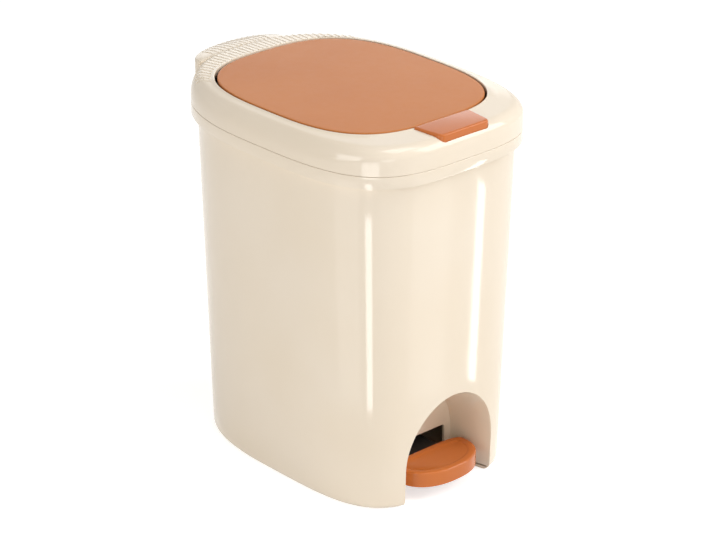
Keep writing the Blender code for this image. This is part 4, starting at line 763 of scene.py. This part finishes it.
    def build_ribs(self, ring: Object) -> None:
        """Lays the grip ribs over the rear of the ring and the ledge with a node tree.

        A row of unit lines is bent to a fan: each rib runs from the lip of the opening out over the crest, and on to
        the ledge's edge where it has the ledge behind it. Rays bring the fan down on the ring.

        Args:
            ring: the finished ring that the ribs lie on.
        """
        tree = bpy.data.node_groups.new("grip_ribs", "GeometryNodeTree")
        tree.interface.new_socket("Geometry", in_out="OUTPUT", socket_type="NodeSocketGeometry")
        sizes = {
            "Count": self.rib_count, "Step": self.rib_step, "Inner half width": OPENING.half_width + 0.0034,
            "Inner depth": OPENING.rear + 0.0034, "Outer half width": RIM.half_width - 0.0042,
            "Outer depth": RIM.rear - 0.0042, "Ledge half width": self.ledge.half_width,
            "Ledge root": self.ledge.middle, "Ledge depth": self.ledge.rear, "Ledge margin": 0.0030,
            "Ribbed half width": 0.0350, "Rib radius": 0.0011, "Sink": 0.0006,
        }
        for name, value in sizes.items():
            kind = "NodeSocketInt" if isinstance(value, int) else "NodeSocketFloat"
            tree.interface.new_socket(name, in_out="INPUT", socket_type=kind).default_value = value
        given = tree.nodes.new("NodeGroupInput").outputs
        node = partial(add_node, tree)

        def calc(operation: str, *values: object) -> NodeSocket:
            """One arithmetic step."""
            return node("ShaderNodeMath", dict(enumerate(values)), operation=operation).outputs[0]

        plus, minus, times, raised, least, most = (
            partial(calc, name) for name in ("ADD", "SUBTRACT", "MULTIPLY", "POWER", "MINIMUM", "MAXIMUM")
        )

        row = node("GeometryNodeMeshLine", {"Count": given["Count"], "Offset": (1.0, 0.0, 0.0)})
        line = node("GeometryNodeCurvePrimitiveLine", {"Start": (0, 0, 0), "End": (0, 1, 0)})
        fine = node("GeometryNodeResampleCurve", {"Curve": line.outputs[0], "Count": 22})
        spread = node("GeometryNodeInstanceOnPoints", {"Points": row.outputs[0], "Instance": fine.outputs[0]})
        real = node("GeometryNodeRealizeInstances", {"Geometry": spread.outputs[0]})
        place = node("ShaderNodeSeparateXYZ", {0: node("GeometryNodeInputPosition").outputs[0]})
        number, along = place.outputs["X"], place.outputs["Y"]
        turn = times(minus(number, times(minus(given["Count"], 1.0), 0.5)), given["Step"])
        across, back = calc("SINE", turn), calc("COSINE", turn)

        def rounded(half_width: NodeSocket, depth: NodeSocket, power: float) -> tuple[NodeSocket, NodeSocket]:
            """The point of a rounded rectangle at the rib's angle."""
            reach = raised(plus(raised(calc("ABSOLUTE", across), power), raised(back, power)), -1 / power)
            return times(times(across, reach), half_width), times(times(back, reach), depth)

        x_in, y_in = rounded(given["Inner half width"], given["Inner depth"], OPENING.rear_power)
        x_out, y_out = rounded(given["Outer half width"], given["Outer depth"], RIM.rear_power)
        off_middle = calc("ABSOLUTE", x_out)
        share = least(calc("DIVIDE", off_middle, given["Ledge half width"]), 0.999)
        bow = raised(minus(1.0, raised(share, self.ledge.rear_power)), 1 / self.ledge.rear_power)
        edge = minus(plus(given["Ledge root"], times(bow, given["Ledge depth"])), given["Ledge margin"])
        ribbed = calc("LESS_THAN", off_middle, given["Ribbed half width"])
        y_end = plus(y_out, times(ribbed, most(minus(edge, y_out), 0.0)))
        x = plus(x_in, times(minus(x_out, x_in), along))
        y = plus(y_in, times(minus(y_end, y_in), along))
        target = node("GeometryNodeObjectInfo", {"Object": ring}).outputs["Geometry"]
        above = node("ShaderNodeCombineXYZ", {0: x, 1: y, 2: 0.36}).outputs[0]
        cast = {"Source Position": above, "Ray Direction": (0.0, 0.0, -1.0), "Ray Length": 0.1}
        ray = node("GeometryNodeRaycast", {"Target Geometry": target, **cast})
        low = node("ShaderNodeSeparateXYZ", {0: ray.outputs["Hit Position"]}).outputs["Z"]
        sunk = node("ShaderNodeCombineXYZ", {0: x, 1: y, 2: minus(low, given["Sink"])}).outputs[0]
        laid = node("GeometryNodeSetPosition", {"Geometry": real.outputs[0], "Position": sunk})
        fade = least(times(calc("SINE", times(along, math.pi)), 3.0), 1.0)
        size = most(calc("SQRT", fade), 0.2)
        sized = node("GeometryNodeSetCurveRadius", {"Curve": laid.outputs[0], "Radius": size})
        circle = node("GeometryNodeCurvePrimitiveCircle", {"Resolution": 10, "Radius": given["Rib radius"]})
        sweep = {"Curve": sized.outputs[0], "Profile Curve": circle.outputs[0], "Fill Caps": True}
        solid = node("GeometryNodeCurveToMesh", sweep)
        smooth = node("GeometryNodeSetShadeSmooth", {"Geometry": solid.outputs[0]})
        whole = node("GeometryNodeRealizeInstances", {"Geometry": smooth.outputs[0]}).outputs[0]
        painted = node("GeometryNodeSetMaterial", {"Geometry": whole, "Material": self.finishes.cream})
        tree.links.new(painted.outputs[0], tree.nodes.new("NodeGroupOutput").inputs[0])
        holder = as_object("ring_grip_ribs", bmesh.new())
        holder.modifiers.new("ribs", "NODES").node_group = tree
        dress(settle(holder), self.finishes.cream, Body.RING, Slot.CREAM)


@dataclass
class Flap:
    """The inset lid: a satin plate, very slightly crowned, with a short skirt."""

    finishes: Finishes
    depth: float = 0.0037
    plate: float = 0.0028
    crown: float = 0.0007
    edge: float = 0.0010
    skirt: float = 0.0020
    screws: tuple[Point2, ...] = ((-0.015, 0.0658), (0.015, 0.0658), (0.0, -0.0950))

    def build(self) -> None:
        """Builds the flap and dresses it."""
        low, rim = RING_TOP - self.depth, RING_TOP - self.crown
        steps = [(RING_TOP - self.plate, self.skirt), (low, self.skirt), (low, 0.0003), (low + 0.0003, 0.0)]
        steps += [(z, self.edge - r) for r, z in arc(0, rim - self.edge, self.edge, 0, 90, 6)]
        for share in (0.03, 0.07, 0.12, 0.2, 0.3, 0.42, 0.56, 0.7, 0.82, 0.92):
            rise = self.crown * (1 - (1 - share) ** 2)
            steps.append((rim + rise, self.edge + (FLAP_PLAN.half_width - self.edge) * share))
        flap = as_object("flap_plate", skin([FLAP_PLAN.ring(z, inset) for z, inset in steps]))
        for x, y in self.screws:
            work(flap, drum(x, y, SCREW_HOLE, low - 0.001, RING_TOP - self.plate + 0.0014), CUT)
        shade(flap)
        dress(flap, self.finishes.flap, Body.FLAP, Slot.FLAP, ["flap"])


@dataclass
class Button:
    """The push button at the front of the ring, with its posts and cam stem."""

    finishes: Finishes
    top: float = 0.3405
    height: float = 0.0075
    shell: float = 0.0018
    bevel: float = 0.0019
    top_wall: float = 0.0022
    post: float = 0.0014
    post_x: float = 0.019

    @staticmethod
    def plan(height: float, grow: float, steps: int = 8) -> Ring:
        """The rounded trapezoid at a height, grown by a gap."""
        front, rear = -0.1427 - grow, -0.1132 + grow
        corners = [(0.0276 + grow, front, 0.0055 + grow), (0.0310 + grow, rear, 0.0012),
                   (-0.0310 - grow, rear, 0.0012), (-0.0276 - grow, front, 0.0055 + grow)]
        points: Ring = []
        for i, (x, y, radius) in enumerate(corners):
            here = Vector((x, y))
            before = (Vector(corners[i - 1][:2]) - here).normalized()
            after = (Vector(corners[(i + 1) % 4][:2]) - here).normalized()
            half = before.angle(after) / 2
            centre = here + (before + after).normalized() * radius / math.sin(half)
            start = here + before * radius / math.tan(half) - centre
            end = here + after * radius / math.tan(half) - centre
            turn = start.angle_signed(end)
            for step in range(steps + 1):
                spoke = Matrix.Rotation(-turn * step / steps, 2) @ start
                points.append(Vector((*(centre + spoke), height)))
        return points

    def build(self) -> None:
        """Builds the button and dresses it."""
        ceiling, low = self.top - self.top_wall, self.top - self.height
        steps = [(ceiling, -self.shell), (low, -self.shell), (low, 0.0), (self.top - self.bevel, 0.0)]
        steps += [(z, r - self.bevel) for r, z in arc(0, self.top - self.bevel, self.bevel, 0, 90, 5)[1:]]
        cap = as_object("push_button_cap", skin([self.plan(z, grow) for z, grow in steps]))
        root = ceiling + 0.001
        stem = prism(
            [(-0.1183, root), (-0.1183, 0.3218), (-0.1233, 0.3218), (-0.1303, 0.3288), (-0.1303, root)],
            -0.0050, 0.0050, "X",
        )
        work(cap, stem, JOIN)
        for side in (-1, 1):
            work(cap, drum(side * self.post_x, SCREW_ROW, self.post, ceiling - 0.012, root, 20), JOIN)
        shade(cap)
        dress(cap, self.finishes.orange, Body.BUTTON, Slot.ORANGE, ["push_button"])


@dataclass
class Pedal:
    """The pad: a half-round shell with a raised rim round a sunk tread."""

    finishes: Finishes
    pad: Outline = Outline(0.0410, 0.0310, 0.0115, 2.3, 3.6, -0.1075)
    top: float = 0.0276
    depth: float = 0.0138
    edge: float = 0.0018
    rim: float = 0.0066
    drop: float = 0.0010
    shell: float = 0.0022
    lever_half: float = 0.0197
    lever_seat: Point2 = (-0.1030, -0.0920)

    def build(self) -> None:
        """Builds the pad and dresses it."""
        tread, low = self.top - self.drop, self.top - self.depth
        steps = [(tread, self.rim + 0.0012), (tread + 0.0003, self.rim + 0.0005)]
        steps += [(self.top - 0.0003, self.rim - 0.0001), (self.top, self.rim - 0.0007)]
        steps += [(z, self.edge - r) for r, z in reversed(arc(0, self.top - self.edge, self.edge, 0, 90, 6))]
        steps += [(low + 0.0004, 0.0), (low, 0.0004), (low, self.shell), (tread - self.shell, self.shell)]
        pad = as_object("foot_pedal_pad", skin([self.pad.ring(z, inset, 128) for z, inset in steps]))
        notch = rectangle((-self.lever_half, self.lever_half), self.lever_seat)
        work(pad, prism(notch, low - 0.004, tread - self.shell), CUT)
        shade(pad)
        dress(pad, self.finishes.orange, Body.PEDAL, Slot.ORANGE, ["foot_pedal"])


@dataclass
class InnerParts:
    """The parts inside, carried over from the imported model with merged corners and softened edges."""

    finishes: Finishes
    nodes: dict[str, Object]
    edge: float = 0.00025
    sharp_from: float = 40.0

    def merged(self, node: str) -> BMesh:
        """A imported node's mesh with its loose corners merged."""
        shape = bmesh.new()
        shape.from_mesh(self.nodes[node].data)
        bmesh.ops.remove_doubles(shape, verts=shape.verts, dist=1e-6)
        return shape

    def carry(self, node: str, body: Body, slot: Slot, finish: Material, edge: float | None = None) -> None:
        """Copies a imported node, softens its edges by a width, where zero leaves them sharp, and dresses it."""
        shape = self.merged(node)
        bmesh.ops.dissolve_limit(shape, angle_limit=math.radians(0.5), verts=shape.verts, edges=shape.edges)
        piece = as_object(node + "_part", shape)
        width = self.edge if edge is None else edge
        if width:
            bevel = piece.modifiers.new("soft_edges", "BEVEL")
            bevel.width = width
            bevel.segments = 2
            bevel.limit_method = "ANGLE"
            bevel.angle_limit = math.radians(self.sharp_from)
            settle(piece)
            shade(piece, self.sharp_from)
        dress(piece, finish, body, slot, [node])

    def coil(self, node: str, moving: Body, axis: int) -> None:
        """Carries a spring over as a still copy with merged corners and the zinc finish; in the bin it is seated in the
        ring and pressed by a body along axis 1 (Y) or 2 (Z).
        """
        piece = as_object(node + "_part", self.merged(node))
        piece.data.materials.clear()
        piece.data.materials.append(self.finishes.zinc)
        low, high = (Vector(corner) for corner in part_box(node))
        far = low.copy()
        far[axis] = high[axis]
        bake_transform(piece)
        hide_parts(node)

    def build(self) -> None:
        """Carries every inner part over."""
        look = self.finishes
        nylon, plain, steel = (Slot.NYLON, look.nylon), (Slot.CREAM, look.cream_inside), (Slot.STEEL, look.zinc)
        for node, body, kind in (
            ("axle_block_left", Body.BARREL, nylon),
            ("axle_block_right", Body.BARREL, nylon),
            ("rod_guide_lower", Body.BARREL, plain),
            ("rod_guide_upper", Body.BARREL, plain),
            ("pedal_axle", Body.BARREL, steel),
            # the lever's nearly black nylon is painted shade for the slot in the niche wall
            ("pedal_lever", Body.PEDAL, (Slot.NYLON, look.nylon_painted_shade)),
            ("push_rod", Body.ROD, steel),
            ("rod_tip", Body.ROD, nylon),
            ("latch_housing", Body.RING, plain),
            ("hinge_pin", Body.RING, steel),
            ("hinge_bracket", Body.FLAP, nylon),
            ("flap_catch", Body.FLAP, nylon),
            ("latch_slider", Body.LATCH, nylon),
        ):
            self.carry(node, body, *kind)
        self.carry("inner_bucket", Body.BUCKET, Slot.BUCKET, look.bucket, edge=0.0)
        self.carry("hinge_spring", Body.RING, *steel, edge=0.0)
        self.coil("latch_spring", Body.LATCH, 1)
        for number in (1, 2):
            self.coil(f"button_spring_{number}", Body.BUTTON, 2)


@dataclass
class Studio:
    """Pale floor, white surround, soft boxes, upright panels and the camera."""

    azimuth: float = -42.16
    elevation: float = 24.21
    target: tuple[float, float, float] = (0.00582, -0.00527, 0.16574)
    distance: float = 2.4459
    focal_px: float = 2801.37
    fill: float = 0.34
    floor_reach: float = 9.0
    floor_glow: float = 0.62
    panel_gap: float = 0.15
    middle_height: float = 0.17

    def direction(self, azimuth: float, elevation: float) -> Vector:
        """The unit vector from the middle towards an azimuth and elevation in degrees, zero being the front."""
        az, el = math.radians(azimuth), math.radians(elevation)
        return Vector((math.sin(az) * math.cos(el), -math.cos(az) * math.cos(el), math.sin(el)))

    def camera(self) -> None:
        """Sets the camera that the photograph was matched with."""
        lens = bpy.data.cameras.new("photo_camera")
        lens.sensor_width = 36.0
        lens.sensor_fit = "HORIZONTAL"
        lens.lens = self.focal_px / PHOTO_WIDTH * lens.sensor_width
        lens.clip_end = 50.0
        made = bpy.data.objects.new("photo_camera", lens)
        bpy.context.scene.collection.objects.link(made)
        back = self.direction(self.azimuth, self.elevation)
        made.location = Vector(self.target) + back * self.distance
        made.rotation_euler = back.to_track_quat("Z", "Y").to_euler()
        bpy.context.scene.camera = made

    def floor(self) -> None:
        """A large pale floor that keeps the bin's shadow and shows white to the camera."""
        shape, far = bmesh.new(), self.floor_reach
        shape.faces.new([shape.verts.new((x, y, 0.0)) for x, y in ((-far, -far), (far, -far), (far, far), (-far, far))])
        floor = as_object("studio_floor", shape)
        finish = bpy.data.materials.new("matt_white_sweep")
        finish.use_nodes = True
        tree = finish.node_tree
        tree.nodes.clear()
        paper = add_node(tree, "ShaderNodeBsdfDiffuse", {"Color": (0.9, 0.9, 0.9, 1.0)})
        glow = add_node(tree, "ShaderNodeEmission", {"Color": (1.0, 1.0, 1.0, 1.0), "Strength": self.floor_glow})
        both = add_node(tree, "ShaderNodeAddShader", {0: paper.outputs[0], 1: glow.outputs[0]})
        chosen = add_node(tree, "ShaderNodeMixShader", {0: self.shown(tree), 1: paper.outputs[0], 2: both.outputs[0]})
        add_node(tree, "ShaderNodeOutputMaterial", {"Surface": chosen.outputs[0]})
        floor.data.materials.append(finish)
        floor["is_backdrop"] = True

    @staticmethod
    def shown(tree: NodeTree) -> NodeSocket:
        """One where the background is looked at: straight, in a reflection or through something clear."""
        path = add_node(tree, "ShaderNodeLightPath")
        straight = path.outputs["Is Camera Ray"]
        for way in ("Is Glossy Ray", "Is Transmission Ray"):
            straight = add_node(
                tree, "ShaderNodeMath", {0: straight, 1: path.outputs[way]}, operation="MAXIMUM"
            ).outputs[0]
        return straight

    def world(self) -> None:
        """White where it is looked at, a plain soft fill to everything else."""
        made = bpy.data.worlds.new("white_studio")
        bpy.context.scene.world = made
        made.use_nodes = True
        tree = made.node_tree
        tree.nodes.clear()
        fill = add_node(tree, "ShaderNodeBackground", {"Color": linear("#FFF9F0"), "Strength": self.fill})
        seen = add_node(tree, "ShaderNodeBackground", {"Color": (1.0, 1.0, 1.0, 1.0), "Strength": 1.0})
        chosen = add_node(tree, "ShaderNodeMixShader", {0: self.shown(tree), 1: fill.outputs[0], 2: seen.outputs[0]})
        add_node(tree, "ShaderNodeOutputWorld", {"Surface": chosen.outputs[0]})

    def lamp(
        self, name: str, place: Vector, facing: Vector, size: Point2, power: float, gloss_only: bool = False
    ) -> None:
        """Hangs one rectangular lamp.

        Args:
            name: the lamp's name.
            place: where it hangs.
            facing: the direction back from what it lights to the lamp.
            size: its width and height.
            power: its power in watts.
            gloss_only: True for a panel that shows only as a reflection.
        """
        lamp = bpy.data.lights.new(name, "AREA")
        lamp.shape = "RECTANGLE"
        lamp.size, lamp.size_y = size
        lamp.energy = power
        made = bpy.data.objects.new(name, lamp)
        bpy.context.scene.collection.objects.link(made)
        made.location = place
        made.rotation_euler = facing.to_track_quat("Z", "Y").to_euler()
        made.visible_camera = False
        made.visible_diffuse = not gloss_only

    def soft_box(
        self, name: str, azimuth: float, elevation: float, distance: float, width: float, power: float
    ) -> None:
        """Hangs a square soft box aimed at the bin's middle, by its direction in degrees and its distance."""
        towards = self.direction(azimuth, elevation)
        place = Vector((0.0, 0.0, self.middle_height)) + towards * distance
        self.lamp(name, place, towards, (width, width), power)

    def panel(self, name: str, wall: Point2, azimuth: float, width: float, span: Point2, glow: float) -> None:
        """Stands a narrow upright panel a hand's width from the bin, seen only as a highlight.

        Args:
            name: the lamp's name.
            wall: the place in plan on the bin that mirrors the panel's middle to the camera.
            azimuth: the direction from there to the panel, in degrees.
            width: the panel's width.
            span: the heights of its two ends.
            glow: its brightness, where white is one.
        """
        towards, tall = self.direction(azimuth, 0.0), span[1] - span[0]
        place = Vector((*wall, (span[0] + span[1]) / 2)) + towards * self.panel_gap
        self.lamp(name, place, towards, (width, tall), glow * math.pi * width * tall, gloss_only=True)

    def build(self) -> None:
        """Sets up the whole studio."""
        self.camera()
        self.floor()
        self.world()
        self.soft_box("key_box", 40, 30, 2.4, 1.5, 28.5)
        self.soft_box("left_box", -84, 15, 1.6, 0.8, 7.0)
        self.soft_box("rear_box", 138, 38, 0.9, 0.5, 0.3)
        self.soft_box("low_box", -28, 4, 0.9, 0.3, 0.65)
        self.soft_box("top_box", 12, 68, 1.2, 0.55, 3.4)
        self.panel("left_strip", (-0.0810, -0.1145), -60, 0.034, (0.006, 0.202), 6.5)
        self.panel("right_strip", (0.0260, -0.1360), 48, 0.015, (0.015, 0.214), 7.5)
        self.panel("ring_glint", (-0.0800, -0.1215), -56, 0.085, (0.242, 0.278), 3.6)
        self.panel("left_panel", (-0.1030, -0.0650), -80, 0.110, (0.006, 0.215), 0.6)
        behind = self.direction(138, 12)
        self.lamp("rear_panel", Vector((0.0, 0.1, 0.34)) + behind * 0.5, behind, (0.6, 0.2), 0.28, gloss_only=True)
        self.panel("front_panel", (0.0, -0.1385), 20, 0.120, (0.006, 0.215), 0.6)
        bpy.context.scene.view_settings.view_transform = "Standard"


def corners(bounds: Iterable[Iterable[float]]) -> list[list[float]]:
    """The bounds as plain lists of numbers."""
    return [[float(value) for value in corner] for corner in bounds]


def plate_screws(nodes: dict[str, Object], finish: Material) -> None:
    """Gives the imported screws, which show as they are, their finish."""
    for name, node in nodes.items():
        if "screw" in name:
            used = node.data.materials
            for i in range(len(used)):
                used[i] = finish
            if not used:
                used.append(finish)


def main() -> None:
    """Builds the sub-assemblies in order, from the studio to the inner parts."""
    logging.basicConfig(level=logging.INFO, format="%(name)s %(message)s")
    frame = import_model()
    packed = corners(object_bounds())
    Studio().build()
    finishes = Finishes()
    barrel = Barrel(finishes)
    barrel.build_shell()
    barrel.build_cover()
    ring = LidRing(finishes)
    ring.build_ribs(ring.build())
    Flap(finishes).build()
    Button(finishes).build()
    Pedal(finishes).build()
    InnerParts(finishes, frame["nodes"]).build()
    plate_screws(frame["nodes"], finishes.zinc)
    {"cad": packed, "visual": corners(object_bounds())}


if __name__ == "__main__":
    main()
